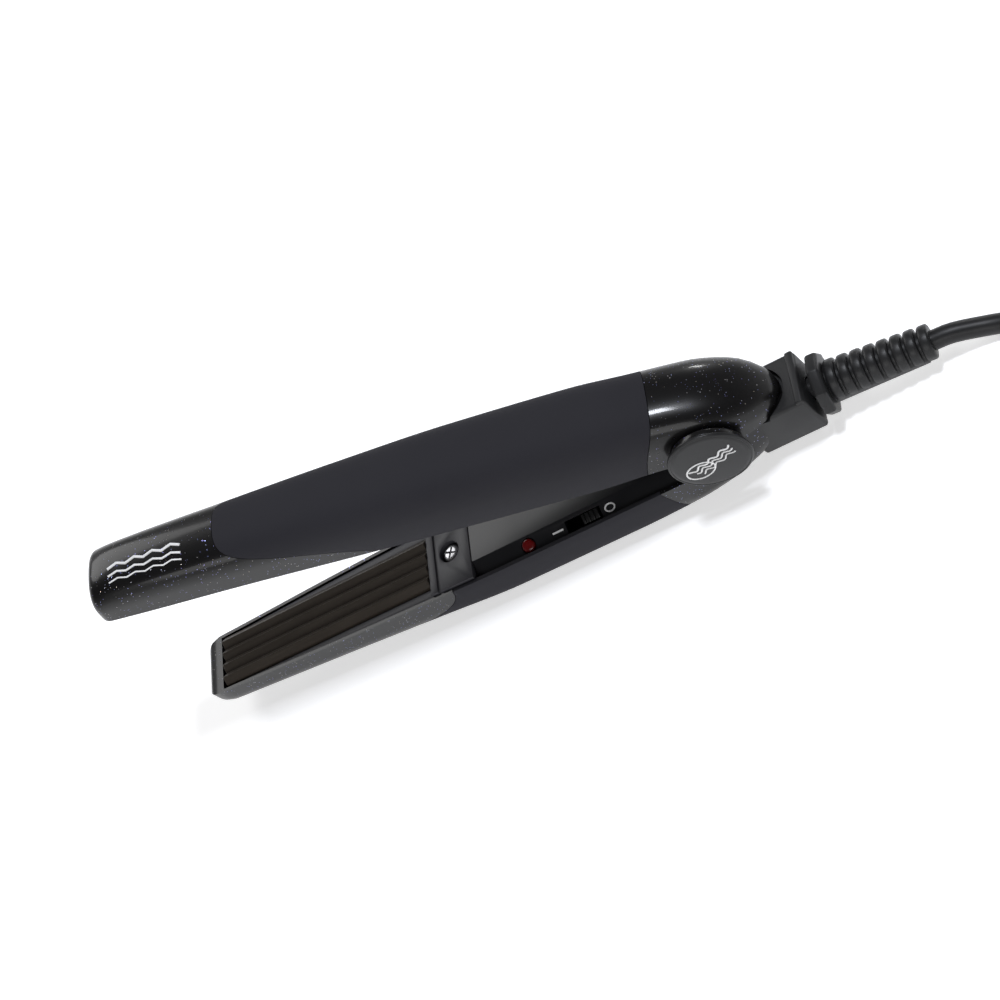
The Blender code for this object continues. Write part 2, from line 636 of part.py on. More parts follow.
def strain_relief(parent, look):
    """The ringed boot with its eight-sided collar, drooping a little from the block."""
    along = (math.cos(RELIEF_DROOP), 0.0, -math.sin(RELIEF_DROOP))
    start = (RELIEF_X, 0.0, RELIEF_Z)
    boot_start = FLANGE_THICK - 0.4
    profile = [(0.0, RELIEF_BASE * 0.8)]
    pitch = (RELIEF_LENGTH - boot_start) / RELIEF_RINGS
    for i in range(RELIEF_RINGS):
        at = boot_start + i * pitch
        radius = RELIEF_BASE + (RELIEF_TIP - RELIEF_BASE) * i / (RELIEF_RINGS - 1)
        profile += [(at, radius - 1.1), (at + 0.32 * pitch, radius - 1.1)]
        profile += [(at + 0.42 * pitch, radius), (at + 0.98 * pitch, radius)]
    boot = rod("strain_relief", start, along, profile, parent, look, sides=20)
    edge = FLANGE_RADIUS - 0.5
    profile = ((0.0, edge), (0.5, FLANGE_RADIUS), (FLANGE_THICK - 0.5, FLANGE_RADIUS), (FLANGE_THICK, edge))
    flange = rod("collar", start, along, profile, parent, sides=8, helper=True)
    stub = bore("relief_stub", (TAIL_END - 12.0, 0.0, RELIEF_Z), BACKWARDS, 2.7, 15.5, parent)
    profile = ((0.0, 3.4), (RELIEF_LENGTH - 3.2, 2.5))
    spine_start = (TAIL_END + 2.0, -1.6, RELIEF_Z - 1.6)
    spine = rod("relief_spine", spine_start, along, profile, parent, sides=16, helper=True)
    for other in (flange, stub, spine):
        change(boot, other, "UNION")
    return boot


def relief_end(extra=0.0):
    """The place where the cord leaves the boot."""
    size = RELIEF_LENGTH + extra
    return (RELIEF_X + size * math.cos(RELIEF_DROOP), 0.0, RELIEF_Z - size * math.sin(RELIEF_DROOP))


def middle_to_pivot_x():
    """How far the hinge axis lies behind the middle of the object, without its cord, hank and plug."""
    end = relief_end()[0] + RELIEF_TIP * math.sin(RELIEF_DROOP)
    return -(LOWER_STATIONS[0][0] + end) / 2.0


def middle_to_pivot_y():
    """The same across the object: the near cap stands out further than the far side of the shell."""
    widest = max(s[1] for s in LOWER_STATIONS)
    return (EAR_OUTER + GAP + CAP_THICK - widest) / 2.0


def hank_half_width(x, waist, loop):
    """Half the width of one turn of the hank, at a place measured from its middle."""
    reach = abs(x)
    if reach <= HANK_STRAIGHT:
        return waist + (loop - waist) * (0.5 - 0.5 * math.cos(math.pi * reach / HANK_STRAIGHT))
    return math.sqrt(max(loop**2 - (reach - HANK_STRAIGHT) ** 2, 0.0))


def hank_outline():
    """The outline round the hank: a narrow waist between two round ends."""
    waist, loop = HANK_WAIST + CORD / 2.0, HANK_LOOP + CORD / 2.0
    sides = [HANK_STRAIGHT * i / 8 for i in range(9)]
    upper = [(x, hank_half_width(x, waist, loop)) for x in [-x for x in reversed(sides)] + sides[1:]]
    ends = [math.pi / 2 - math.pi * i / 10 for i in range(1, 10)]
    right = [(HANK_STRAIGHT + loop * math.cos(a), loop * math.sin(a)) for a in ends]
    lower = [(x, -y) for x, y in reversed(upper)]
    left = [(-HANK_STRAIGHT - loop * math.cos(a), -loop * math.sin(a)) for a in ends]
    return [(HANK_X + x, y) for x, y in [*upper, *right, *lower, *left]]


def cord_and_plug(parent, looks):
    """The cord from the boot to its hank, the hank, its tie, and the plug that lies on it."""
    floor = -PIVOT_HEIGHT
    level = floor + CORD / 2.0 + 0.02
    route = [relief_end(GAP), relief_end(5.0), (67.0, -0.6, level + 1.0)]
    route += [(73.0, -2.1, level), (78.0, -4.8, level), (82.0, -8.2, level)]
    tube("mains_cord", smooth_line(route, 4), CORD / 2.0, parent, looks["cord"], sides=3)
    top = floor + HANK_LAYERS * CORD + 0.4
    prism("cord_hank", hank_outline(), "z", floor + 0.02, top, parent, looks["cord"])
    wide = HANK_WAIST + CORD / 2.0 + 2.2
    low, high = (HANK_X - 5.0, -wide - 1.2, floor + 0.02), (HANK_X + 5.0, wide + 1.2, top + 1.6)
    tie = box("cord_tie", low, high, parent, looks["tie"], bevel=0.5)
    low, high = (HANK_X - 9.0, -wide, floor - 3.0), (HANK_X + 9.0, wide, top + GAP)
    inside = box("tie_hole", low, high, parent, helper=True)
    cut(tie, inside)
    plug(parent, looks, top)


def plug(parent, looks, top):
    """A flat two-pin plug lying on the hank, and the short cord that comes up to it."""
    middle = top + 7.2
    x0 = HANK_X + 12.0
    side = [(0.0, 3.2), (7.0, 4.2), (14.0, 7.0), (24.0, 9.0), (31.0, 9.0), (34.0, 12.4), (38.0, 12.6)]
    outline = [*side, *((x, -y) for x, y in reversed(side))]
    outline = [(x0 + x, y) for x, y in outline]
    prism("plug_body", outline, "z", middle - 6.6, middle + 6.6, parent, looks["cord"])
    for side, name in ((-1.0, "near"), (1.0, "far")):
        profile = ((0.0, 1.9), (17.4, 1.9), (18.6, 1.2))
        pin_start = (x0 + 38.3, side * 9.3, middle)
        rod(f"plug_pin_{name}", pin_start, BACKWARDS, profile, parent, looks["steel"], sides=14)
    low = top + GAP + CORD / 2.0
    line = [(HANK_X - 34.0, -13.0, low), (HANK_X - 22.0, -9.0, low), (HANK_X - 9.0, -2.0, low + 2.0)]
    line += [(HANK_X + 4.0, 0.0, middle - 0.4), (x0 - GAP, 0.0, middle)]
    tube("plug_cord", smooth_line(line, 4), CORD / 2.0, parent, looks["cord"], sides=3)


def main():
    """Builds both arms, the switch and the cord."""
    looks = {
        "gloss": material("gloss_shell", (0.012, 0.011, 0.014), 0.12),
        "rubber": material("grip_rubber", (0.035, 0.035, 0.042), 0.62),
        "plate": material("plate_coating", (0.045, 0.036, 0.026), 0.35, 0.6),
        "cover": material("cover_plastic", (0.03, 0.03, 0.034), 0.4),
        "carrier": material("carrier_plastic", (0.032, 0.031, 0.034), 0.45),
        "cap": material("cap_plastic", (0.02, 0.02, 0.021), 0.3),
        "steel": material("steel", (0.5, 0.5, 0.52), 0.3, 1.0),
        "screw": material("dark_screw", (0.12, 0.12, 0.13), 0.35, 1.0),
        "heater": material("heater_ceramic", (0.7, 0.68, 0.62), 0.7),
        "board": material("board_laminate", (0.05, 0.16, 0.07), 0.5),
        "switch": material("switch_plastic", (0.02, 0.02, 0.02), 0.5),
        "lens": material("red_lens", (0.5, 0.01, 0.01), 0.15),
        "lamp": material("lamp_glass", (0.8, 0.3, 0.2), 0.2),
        "brown": material("brown_lead", (0.12, 0.04, 0.015), 0.5),
        "blue": material("blue_lead", (0.02, 0.06, 0.3), 0.5),
        "cord": material("cord_sheath", (0.02, 0.02, 0.021), 0.5),
        "tie": material("tie_strap", (0.03, 0.03, 0.03), 0.7),
    }
    pivot = (middle_to_pivot_x(), middle_to_pivot_y(), PIVOT_HEIGHT)
    lower = empty("lower_frame", pivot)
    upper = empty("upper_frame", pivot, math.radians(OPEN_ANGLE))

    base = below_the_base(lower)
    shell = lower_shell(lower, looks["gloss"], base)
    outline = lower_grip_outline()
    grip = grip_and_recess("lower", shell, LOWER_STATIONS, LOWER_POWER, outline, lower, looks["rubber"])
    cut(grip, base)
    shell = upper_shell(upper, looks["gloss"])
    outline = upper_grip_outline()
    grip_and_recess("upper", shell, UPPER_STATIONS, UPPER_POWER, outline, upper, looks["rubber"])

    ridged_plate("lower_crimp_plate", 1.0, PLATE_FACE, lower, looks["plate"])
    face = PLATE_FACE
    floor = LOWER_LEDGE + GAP
    carrier("lower_plate_carrier", LOWER_STATIONS, face, face, floor, lower, looks["carrier"], -1.0)
    heater_and_clip("lower", -1.0, PLATE_FACE - PLATE_THICK, lower, looks["heater"], looks["steel"])
    screw("lower_carrier_screw", (SCREW_X, 0.0, -6.7), DOWN, lower, looks["screw"])
    inner_cover(lower, looks["cover"])
    electrics(lower, looks)
    cord_clamp(lower, looks["carrier"], looks["steel"])
    hinge(lower, upper, looks["steel"], looks["cap"])
    strain_relief(lower, looks["cord"])
    cord_and_plug(lower, looks)

    knob_frame = empty("switch_frame", (0.0, 0.0, 0.0), parent=lower)
    ends = (SWITCH_X - KNOB_LENGTH / 2.0, SWITCH_X + KNOB_LENGTH / 2.0)
    sides = (SLOPE_MID - KNOB_HALF, SLOPE_MID + KNOB_HALF)
    slope_box("switch_knob", *ends, *sides, -3.4, 0.5, knob_frame, looks["switch"])

    face = PLATE_FACE + PLATE_GAP
    ridged_plate("upper_crimp_plate", -1.0, face, upper, looks["plate"])
    floor = UPPER_LEDGE - 0.5
    carrier("upper_plate_carrier", UPPER_STATIONS, face, face + 0.4, floor, upper, looks["carrier"], 1.0)
    heater_and_clip("upper", 1.0, face + PLATE_THICK, upper, looks["heater"], looks["steel"])
    screw("upper_carrier_screw", (SCREW_X, 0.0, -4.6), UP, upper, looks["screw"])
    upper_inner_cover(upper, looks["cover"])
    route = ((-94.0, 6.6, 0.6), (-86.0, 6.4, 1.6), (-70.0, 6.0, 2.0), (-40.0, 5.6, 2.4), (-12.0, 6.4, 2.6))
    for side, name in ((-1.0, "near"), (1.0, "far")):
        line = [(x, side * y, z) for x, y, z in route]
        tube(f"upper_lead_{name}", smooth_line(line, 3), LEAD_RADIUS, upper, looks["brown"])


main()
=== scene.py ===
"""The looks of a small hair crimper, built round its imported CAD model.

Each arm is drawn in its own frame, in millimetres: the hinge axis is the Y axis, the tip lies at
-X, and the arm's back is away from the other arm. LOWER and UPPER carry those frames to the world.
"""

import json
import math

import bmesh
import bpy
from mathutils import Matrix, Vector


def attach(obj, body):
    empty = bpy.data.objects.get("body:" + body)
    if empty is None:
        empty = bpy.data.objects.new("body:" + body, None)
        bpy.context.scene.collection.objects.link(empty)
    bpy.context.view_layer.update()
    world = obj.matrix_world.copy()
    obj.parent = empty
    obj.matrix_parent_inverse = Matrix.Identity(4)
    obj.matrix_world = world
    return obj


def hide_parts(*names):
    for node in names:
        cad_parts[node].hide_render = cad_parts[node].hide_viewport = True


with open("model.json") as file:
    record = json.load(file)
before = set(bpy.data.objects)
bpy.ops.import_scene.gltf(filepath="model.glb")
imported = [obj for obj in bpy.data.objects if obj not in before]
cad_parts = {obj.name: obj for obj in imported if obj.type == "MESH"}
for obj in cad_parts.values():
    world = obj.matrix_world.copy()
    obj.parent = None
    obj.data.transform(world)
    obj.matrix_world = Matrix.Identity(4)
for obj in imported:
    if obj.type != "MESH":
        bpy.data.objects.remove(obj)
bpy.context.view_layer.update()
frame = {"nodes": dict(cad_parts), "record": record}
JOINTS = {joint["name"]: joint for joint in frame["record"]["behaviour"]["joints"]}

MM = 0.001
PIVOT = Vector(JOINTS["arm_hinge"]["pos_m"])
OPEN_ANGLE = math.radians(JOINTS["arm_hinge"]["range_deg"][1])
LOWER = Matrix.Translation(PIVOT) @ Matrix.Scale(MM, 4)
UPPER = Matrix.Translation(PIVOT) @ Matrix.Rotation(OPEN_ANGLE, 4, "Y") @ Matrix.Scale(MM, 4)

# Driving dimensions, in millimetres, the same as the CAD model's.
FLOOR = -PIVOT.z / MM
GAP = 0.3
WALL = 2.4
TIP_WALL = -157.6
GRIP_THICK = 1.1
REBATE = 0.9
LOWER_LEDGE = -9.9
UPPER_LEDGE = -0.9
PLATE_FACE = -6.1
PLATE_GAP = 0.5
PLATE_HALF = 7.4
PLATE_TIP = -157.2
PLATE_END = -87.6
RIDGES = 4
RIDGE_HEIGHT = 1.6
PLATE_THICK = 2.9
BLOCK_END = -74.0
COVER_END = -13.0
SCREW_X = -80.3
RIDGE_Y = -6.2
SLOPE = math.radians(32.0)
SLOPE_MID = 2.6
LAMP_X = -57.2
SWITCH_X = -38.2
SWITCH_TRAVEL = 4.5
SLOT_LENGTH = 10.4
KNOB_LENGTH = 4.8
EAR_RADIUS = 9.2
EAR_INNER = 11.4
EAR_OUTER = 13.2
CAP_RADIUS = 10.4
CAP_THICK = 1.5
LUG_INNER = 5.4
LUG_OUTER = 7.7
LUG_RADIUS = 5.4
PIN_RADIUS = 1.5
NOSE_LENGTH = 19.8
TAIL_END = 24.6
TAIL_HALF = 7.7
TAIL_TOP = -4.0
TAIL_BOTTOM = -17.0
RELIEF_X = TAIL_END + 1.3
RELIEF_Z = -10.9
RELIEF_DROOP = math.radians(7.0)
RELIEF_LENGTH = 29.4
RELIEF_RINGS = 8
RELIEF_BASE = 5.2
RELIEF_TIP = 4.4
FLANGE_RADIUS = 8.1
FLANGE_THICK = 3.2
CORD = 5.0
HANK_X = 139.0
HANK_STRAIGHT = 32.0
HANK_LOOP = 20.0
HANK_WAIST = 7.7
HANK_LAYERS = 4

# Drawn here only: the cord's length, an end loop's part of a turn, the top of the hank, and how far the
# plug's middle lies above that and its start beyond the hank's middle.
HANK_ARC = 0.236
HANK_TOP = FLOOR + HANK_LAYERS * CORD + 0.4
PLUG_RISE = 7.2
PLUG_START = 12.0

# x, half width, rim level, level where the side starts to curve over, level of the back.
LOWER_STATIONS = (
    (-164.6, 4.4, -9.4, -10.2, -12.2),
    (-164.0, 6.2, -8.4, -9.6, -13.4),
    (-162.6, 7.8, -7.4, -9.1, -14.8),
    (-160.0, 8.8, -6.9, -8.9, -15.4),
    (-150.0, 9.2, -6.9, -9.0, -16.0),
    (-122.0, 10.4, -6.9, -9.6, -17.0),
    (-90.0, 11.4, -6.9, -10.2, -19.2),
    (-66.0, 12.0, -6.9, -10.6, -21.0),
    (-30.0, 12.1, -6.9, -10.6, -21.0),
    (-12.0, 12.1, -6.9, -10.4, -20.0),
    (-3.0, 11.8, -6.2, -10.0, -18.4),
    (5.0, 9.6, -5.0, -9.6, -17.3),
    (10.0, 8.0, TAIL_TOP, -8.0, -16.6),
    (14.0, 7.0, TAIL_TOP - 0.4, -8.0, -16.0),
)
UPPER_STATIONS = (
    (-161.4, 7.2, -5.6, -4.0, 0.6),
    (-160.6, 8.6, -6.4, -3.9, 2.8),
    (-159.0, 9.2, -6.6, -3.6, 4.2),
    (-152.0, 9.4, -6.5, -2.6, 5.6),
    (-122.0, 10.2, -5.4, -0.4, 8.4),
    (-90.0, 11.3, -4.4, 1.4, 10.8),
    (-60.0, 12.0, -3.6, 2.6, 12.6),
    (-30.0, 12.0, -3.6, 3.0, 13.4),
    (-12.0, 11.1, -3.6, 3.2, 13.0),
    (0.0, 11.0, -3.2, 3.2, 12.0),
    (6.0, 10.4, -1.4, 3.0, 10.6),
    (11.0, 9.3, -0.4, 2.6, 8.8),
    (15.0, 7.4, 0.0, 2.0, 6.6),
    (18.0, 4.8, 0.2, 1.6, 4.4),
    (NOSE_LENGTH, 1.6, 0.3, 1.0, 2.0),
)
LOWER_POWER = 3.4
UPPER_POWER = 2.6
ARC_STEPS = 44
UP = Vector((0.0, 0.0, 1.0))
DOWN = Vector((0.0, 0.0, -1.0))
BACKWARDS = Vector((1.0, 0.0, 0.0))
NEAR = Vector((0.0, -1.0, 0.0))


# ---------------------------------------------------------------- camera, lights and floor


def make_camera():
    """The photograph's view: from above the near side, with the tip at the left."""
    data = bpy.data.cameras.new("camera")
    data.lens = 79.07
    camera = bpy.data.objects.new("camera", data)
    right = Vector((0.8085, -0.1076, -0.5785))
    back = Vector((0.4330, -0.5569, 0.7087))
    up = back.cross(right)
    turn = Matrix((right, up, back)).transposed().to_4x4()
    camera.matrix_world = Matrix.Translation(PIVOT + Vector((0.18078, -0.30582, 0.39293))) @ turn
    bpy.context.collection.objects.link(camera)
    bpy.context.scene.camera = camera


def make_light(name, place, size, power, colour=(1.0, 1.0, 1.0)):
    """A square softbox that looks at the middle of the crimper."""
    data = bpy.data.lights.new(name, "AREA")
    data.shape = "RECTANGLE"
    data.size, data.size_y = size
    data.energy = power
    data.color = colour
    light = bpy.data.objects.new(name, data)
    light.location = place
    aim = Vector((0.0, 0.0, 0.03)) - Vector(place)
    light.rotation_euler = aim.to_track_quat("-Z", "Y").to_euler()
    bpy.context.collection.objects.link(light)


def make_world():
    """A dim studio: white round the horizon and dark overhead."""
    world = bpy.data.worlds.new("studio")
    world.use_nodes = True
    nodes, links = world.node_tree.nodes, world.node_tree.links
    background = nodes["Background"]
    split = nodes.new("ShaderNodeSeparateXYZ")
    links.new(nodes.new("ShaderNodeTexCoord").outputs["Generated"], split.inputs["Vector"])
    stops = ((0.0, (0.85, 0.85, 0.85)), (0.25, (0.3, 0.3, 0.31)), (0.6, (0.08, 0.08, 0.085)))
    links.new(ramp_node(nodes, links, split.outputs["Z"], stops), background.inputs["Color"])
    bpy.context.scene.world = world
    bpy.context.scene.view_settings.view_transform = "Standard"


def make_floor():
    """A plain pale floor."""
    bm = bmesh.new()
    bmesh.ops.create_grid(bm, x_segments=1, y_segments=1, size=3.0)
    mesh = bpy.data.meshes.new("floor")
    bm.to_mesh(mesh)
    bm.free()
    floor = bpy.data.objects.new("floor", mesh)
    floor.location.z = -0.0001
    look, shader, nodes, links = new_material("floor_paper", (0.93, 0.93, 0.93), 0.9)
    shader.inputs["Emission Color"].default_value = (1.0, 1.0, 1.0, 1.0)
    shader.inputs["Emission Strength"].default_value = 0.5
    grain = noise_node(nodes, 40.0, 2.0)
    colour = ramp_node(nodes, links, grain, ((0.3, (0.92, 0.92, 0.92)), (0.7, (0.95, 0.95, 0.95))))
    links.new(colour, shader.inputs["Base Color"])
    mesh.materials.append(look)
    bpy.context.collection.objects.link(floor)


# ---------------------------------------------------------------- materials


def new_material(name, colour, roughness, metallic=0.0):
    """(material, Principled node, nodes, links)."""
    made = bpy.data.materials.new(name)
    made.use_nodes = True
    nodes, links = made.node_tree.nodes, made.node_tree.links
    shader = nodes["Principled BSDF"]
    shader.inputs["Base Color"].default_value = (*colour, 1.0)
    shader.inputs["Roughness"].default_value = roughness
    shader.inputs["Metallic"].default_value = metallic
    return made, shader, nodes, links


def coordinates(nodes):
    """The object's own coordinates, in metres."""
    found = nodes.get("Texture Coordinate")
    return (found or nodes.new("ShaderNodeTexCoord")).outputs["Object"]


def noise_node(nodes, scale, detail):
    """A noise in the object's own space."""
    made = nodes.new("ShaderNodeTexNoise")
    made.inputs["Scale"].default_value = scale
    made.inputs["Detail"].default_value = detail
    nodes.id_data.links.new(coordinates(nodes), made.inputs["Vector"])
    return made.outputs["Fac"]


def ramp_node(nodes, links, factor, stops):
    """A colour ramp with the given (position, colour) stops."""
    made = nodes.new("ShaderNodeValToRGB")
    elements = made.color_ramp.elements
    elements[0].position, elements[0].color = stops[0][0], (*stops[0][1], 1.0)
    elements[1].position, elements[1].color = stops[-1][0], (*stops[-1][1], 1.0)
    for position, colour in stops[1:-1]:
        elements.new(position).color = (*colour, 1.0)
    links.new(factor, made.inputs["Fac"])
    return made.outputs["Color"]


def range_node(nodes, links, factor, low, high):
    """A factor from 0 to 1 carried to a range of values."""
    made = nodes.new("ShaderNodeMapRange")
    made.inputs["To Min"].default_value = low
    made.inputs["To Max"].default_value = high
    links.new(factor, made.inputs["Value"])
    return made.outputs["Result"]


def bump_node(nodes, links, height, distance, strength=1.0, normal=None):
    """A bump of the given height in metres."""
    made = nodes.new("ShaderNodeBump")
    made.inputs["Strength"].default_value = strength
    made.inputs["Distance"].default_value = distance
    links.new(height, made.inputs["Height"])
    if normal is not None:
        links.new(normal, made.inputs["Normal"])
    return made.outputs["Normal"]


def moulded(name, dark, pale, roughness, spread, grain, depth, shine=0.3):
    """Moulded plastic or rubber: a fine grain, and slow changes of colour and gloss."""
    made, shader, nodes, links = new_material(name, dark, roughness)
    shader.inputs["Specular IOR Level"].default_value = shine
    slow = noise_node(nodes, 60.0, 3.0)
    links.new(ramp_node(nodes, links, slow, ((0.35, dark), (0.65, pale))), shader.inputs["Base Color"])
    low, high = roughness - spread, roughness + spread
    links.new(range_node(nodes, links, slow, low, high), shader.inputs["Roughness"])
    fine = noise_node(nodes, grain, 2.0)
    links.new(bump_node(nodes, links, fine, depth), shader.inputs["Normal"])
    return made


LACQUER = (0.0045, 0.0042, 0.0042)


def flake_lacquer():
    """Near-black gloss lacquer with fine tilted silver and violet flakes under a clear coat."""
    made, shader, nodes, links = new_material("flake_lacquer", LACQUER, 0.32)
    shader.inputs["Specular IOR Level"].default_value = 0.2
    shader.inputs["Coat Weight"].default_value = 0.3
    shader.inputs["Coat Roughness"].default_value = 0.1
    cells = nodes.new("ShaderNodeTexVoronoi")
    cells.inputs["Scale"].default_value = 2600.0
    links.new(coordinates(nodes), cells.inputs["Vector"])
    split = nodes.new("ShaderNodeSeparateColor")
    links.new(cells.outputs["Color"], split.inputs["Color"])
    chosen = compare_node(nodes, links, "GREATER_THAN", split.outputs["Red"], 0.91)
    core = compare_node(nodes, links, "LESS_THAN", cells.outputs["Distance"], 0.3)
    flake = nodes.new("ShaderNodeMath")
    flake.operation = "MULTIPLY"
    links.new(chosen, flake.inputs[0])
    links.new(core, flake.inputs[1])
    violet, blue, silver, warm = (0.2, 0.17, 0.4), (0.2, 0.23, 0.42), (0.34, 0.34, 0.38), (0.3, 0.26, 0.2)
    stops = ((0.0, violet), (0.4, blue), (0.75, silver), (1.0, warm))
    tint = ramp_node(nodes, links, split.outputs["Green"], stops)
    mix = nodes.new("ShaderNodeMix")
    mix.data_type = "RGBA"
    mix.inputs["A"].default_value = (*LACQUER, 1.0)
    links.new(flake.outputs["Value"], mix.inputs["Factor"])
    links.new(tint, mix.inputs["B"])
    links.new(mix.outputs["Result"], shader.inputs["Base Color"])
    links.new(flake.outputs["Value"], shader.inputs["Metallic"])
    tilt = tilted_normal(nodes, links, cells.outputs["Color"], flake.outputs["Value"])
    links.new(tilt, shader.inputs["Normal"])
    return made


def compare_node(nodes, links, how, value, limit):
    """1 where the value passes the limit, and 0 elsewhere."""
    made = nodes.new("ShaderNodeMath")
    made.operation = how
    made.inputs[1].default_value = limit
    links.new(value, made.inputs[0])
    return made.outputs["Value"]


def tilted_normal(nodes, links, colour, amount):
    """The surface's normal, leaning a different way in each flake."""
    centred = nodes.new("ShaderNodeVectorMath")
    centred.operation = "SUBTRACT"
    centred.inputs[1].default_value = (0.5, 0.5, 0.5)
    links.new(colour, centred.inputs[0])
    scaled = nodes.new("ShaderNodeVectorMath")
    scaled.operation = "SCALE"
    links.new(centred.outputs["Vector"], scaled.inputs["Vector"])
    links.new(range_node(nodes, links, amount, 0.0, 0.75), scaled.inputs["Scale"])
    added = nodes.new("ShaderNodeVectorMath")
    links.new(nodes.new("ShaderNodeNewGeometry").outputs["Normal"], added.inputs[0])
    links.new(scaled.outputs["Vector"], added.inputs[1])
    unit = nodes.new("ShaderNodeVectorMath")
    unit.operation = "NORMALIZE"
    links.new(added.outputs["Vector"], unit.inputs[0])
    return unit.outputs["Vector"]


def metal(name, dark, pale, roughness):
    """Metal with fine marks and uneven polish."""
    made = moulded(name, dark, pale, roughness, 0.08, 2500.0, 0.000003)
    made.node_tree.nodes["Principled BSDF"].inputs["Metallic"].default_value = 1.0
    return made


def coated_plate():
    """The plates' dark bronze-brown coating: satin, with fine specks and a faint lengthwise grain."""
    made, shader, nodes, links = new_material("plate_coating", (0.05, 0.041, 0.034), 0.4, 0.25)
    shader.inputs["Specular IOR Level"].default_value = 0.25
    stretch = nodes.new("ShaderNodeMapping")
    stretch.inputs["Scale"].default_value = (0.08, 1.0, 1.0)
    links.new(coordinates(nodes), stretch.inputs["Vector"])
    grain = nodes.new("ShaderNodeTexNoise")
    grain.inputs["Scale"].default_value = 900.0
    grain.inputs["Detail"].default_value = 3.0
    links.new(stretch.outputs["Vector"], grain.inputs["Vector"])
    stops = ((0.3, (0.046, 0.038, 0.03)), (0.7, (0.058, 0.048, 0.038)))
    links.new(ramp_node(nodes, links, grain.outputs["Fac"], stops), shader.inputs["Base Color"])
    links.new(range_node(nodes, links, grain.outputs["Fac"], 0.34, 0.5), shader.inputs["Roughness"])
    specks = noise_node(nodes, 3000.0, 2.0)
    links.new(bump_node(nodes, links, specks, 0.000006), shader.inputs["Normal"])
    return made


def red_lens():
    """Clear red plastic, with painted shade that darkens it towards its rim as the camera sees it."""
    made, shader, nodes, links = new_material("red_lens", (0.12, 0.003, 0.004), 0.16)
    shader.inputs["Transmission Weight"].default_value = 0.25
    shader.inputs["Specular IOR Level"].default_value = 0.3
    facing = nodes.new("ShaderNodeLayerWeight")
    # Painted shade: the base colour runs from red where the lens faces the camera to near black at its rim.
    stops = ((0.0, (0.2, 0.006, 0.006)), (1.0, (0.04, 0.001, 0.002)))
    links.new(ramp_node(nodes, links, facing.outputs["Facing"], stops), shader.inputs["Base Color"])
    return made


# Each moulded look: its key and name, darker and paler colour, roughness and its spread, the scale of its
# grain and the depth in metres and, for the grip alone, how much it shines.
MOULDED = (
    ("grip", "grip_rubber", (0.0175, 0.017, 0.0215), (0.0195, 0.019, 0.0235), 0.75, 0.04, 3800.0, 1e-5, 0.2),
    ("cover", "cover_plastic", (0.009, 0.009, 0.0105), (0.011, 0.011, 0.0125), 0.3, 0.04, 2200.0, 6e-6),
    ("carrier", "carrier_plastic", (0.042, 0.042, 0.048), (0.05, 0.05, 0.056), 0.42, 0.05, 2400.0, 7e-6),
    ("cap", "cap_plastic", (0.012, 0.012, 0.0125), (0.015, 0.015, 0.0155), 0.36, 0.04, 2400.0, 5e-6),
    ("tail", "tail_plastic", (0.015, 0.015, 0.0155), (0.019, 0.019, 0.0195), 0.44, 0.05, 2400.0, 7e-6),
    ("cord", "cord_sheath", (0.01, 0.01, 0.0105), (0.014, 0.014, 0.0145), 0.44, 0.06, 1800.0, 1e-5),
    ("boot", "boot_rubber", (0.011, 0.011, 0.0115), (0.016, 0.016, 0.0165), 0.42, 0.07, 1500.0, 2e-5),
    ("tie", "tie_strap", (0.012, 0.012, 0.012), (0.02, 0.02, 0.02), 0.8, 0.04, 1600.0, 6e-5),
    ("switch", "switch_plastic", (0.004, 0.004, 0.004), (0.007, 0.007, 0.007), 0.36, 0.05, 2400.0, 6e-6),
    ("print", "white_print", (0.78, 0.78, 0.78), (0.86, 0.86, 0.86), 0.5, 0.04, 4000.0, 3e-6),
    ("heater", "heater_ceramic", (0.68, 0.66, 0.6), (0.76, 0.74, 0.7), 0.7, 0.05, 1500.0, 2e-5),
    ("board", "board_laminate", (0.03, 0.12, 0.05), (0.05, 0.17, 0.07), 0.45, 0.06, 1200.0, 1e-5),
    ("lamp", "lamp_glass", (0.8, 0.3, 0.2), (0.85, 0.4, 0.3), 0.2, 0.05, 800.0, 4e-6),
    ("brown", "brown_lead", (0.12, 0.04, 0.015), (0.16, 0.06, 0.02), 0.45, 0.05, 1500.0, 1e-5),
    ("blue", "blue_lead", (0.02, 0.06, 0.3), (0.03, 0.08, 0.36), 0.45, 0.05, 1500.0, 1e-5),
)


def make_looks():
    """Every material, by the name that the pieces use."""
    looks = {key: moulded(*values) for key, *values in MOULDED}
    looks["lacquer"] = flake_lacquer()
    looks["plate"] = coated_plate()
    looks["lens"] = red_lens()
    looks["steel"] = metal("steel", (0.42, 0.42, 0.43), (0.55, 0.55, 0.56), 0.3)
    looks["screw"] = metal("dark_screw", (0.3, 0.3, 0.31), (0.42, 0.42, 0.43), 0.28)
    looks["nickel"] = metal("plug_nickel", (0.6, 0.58, 0.54), (0.7, 0.68, 0.64), 0.22)
    return looks


# ---------------------------------------------------------------- mesh tools


def draft(name, bm):
    """A working object, still in its arm's frame and in millimetres."""
    bmesh.ops.recalc_face_normals(bm, faces=bm.faces)
    mesh = bpy.data.meshes.new(name)
    bm.to_mesh(mesh)
    bm.free()
    made = bpy.data.objects.new(name, mesh)
    bpy.context.collection.objects.link(made)
    return made


def loft(name, loops):
    """A closed body through loops that all have the same number of points."""
    bm = bmesh.new()
    rings = [[bm.verts.new(point) for point in loop] for loop in loops]
    for ring, after in zip(rings, rings[1:]):
        for i in range(len(ring)):
            j = (i + 1) % len(ring)
            bm.faces.new((ring[i], ring[j], after[j], after[i]))
    bm.faces.new(rings[0])
    bm.faces.new(rings[-1])
    return draft(name, bm)


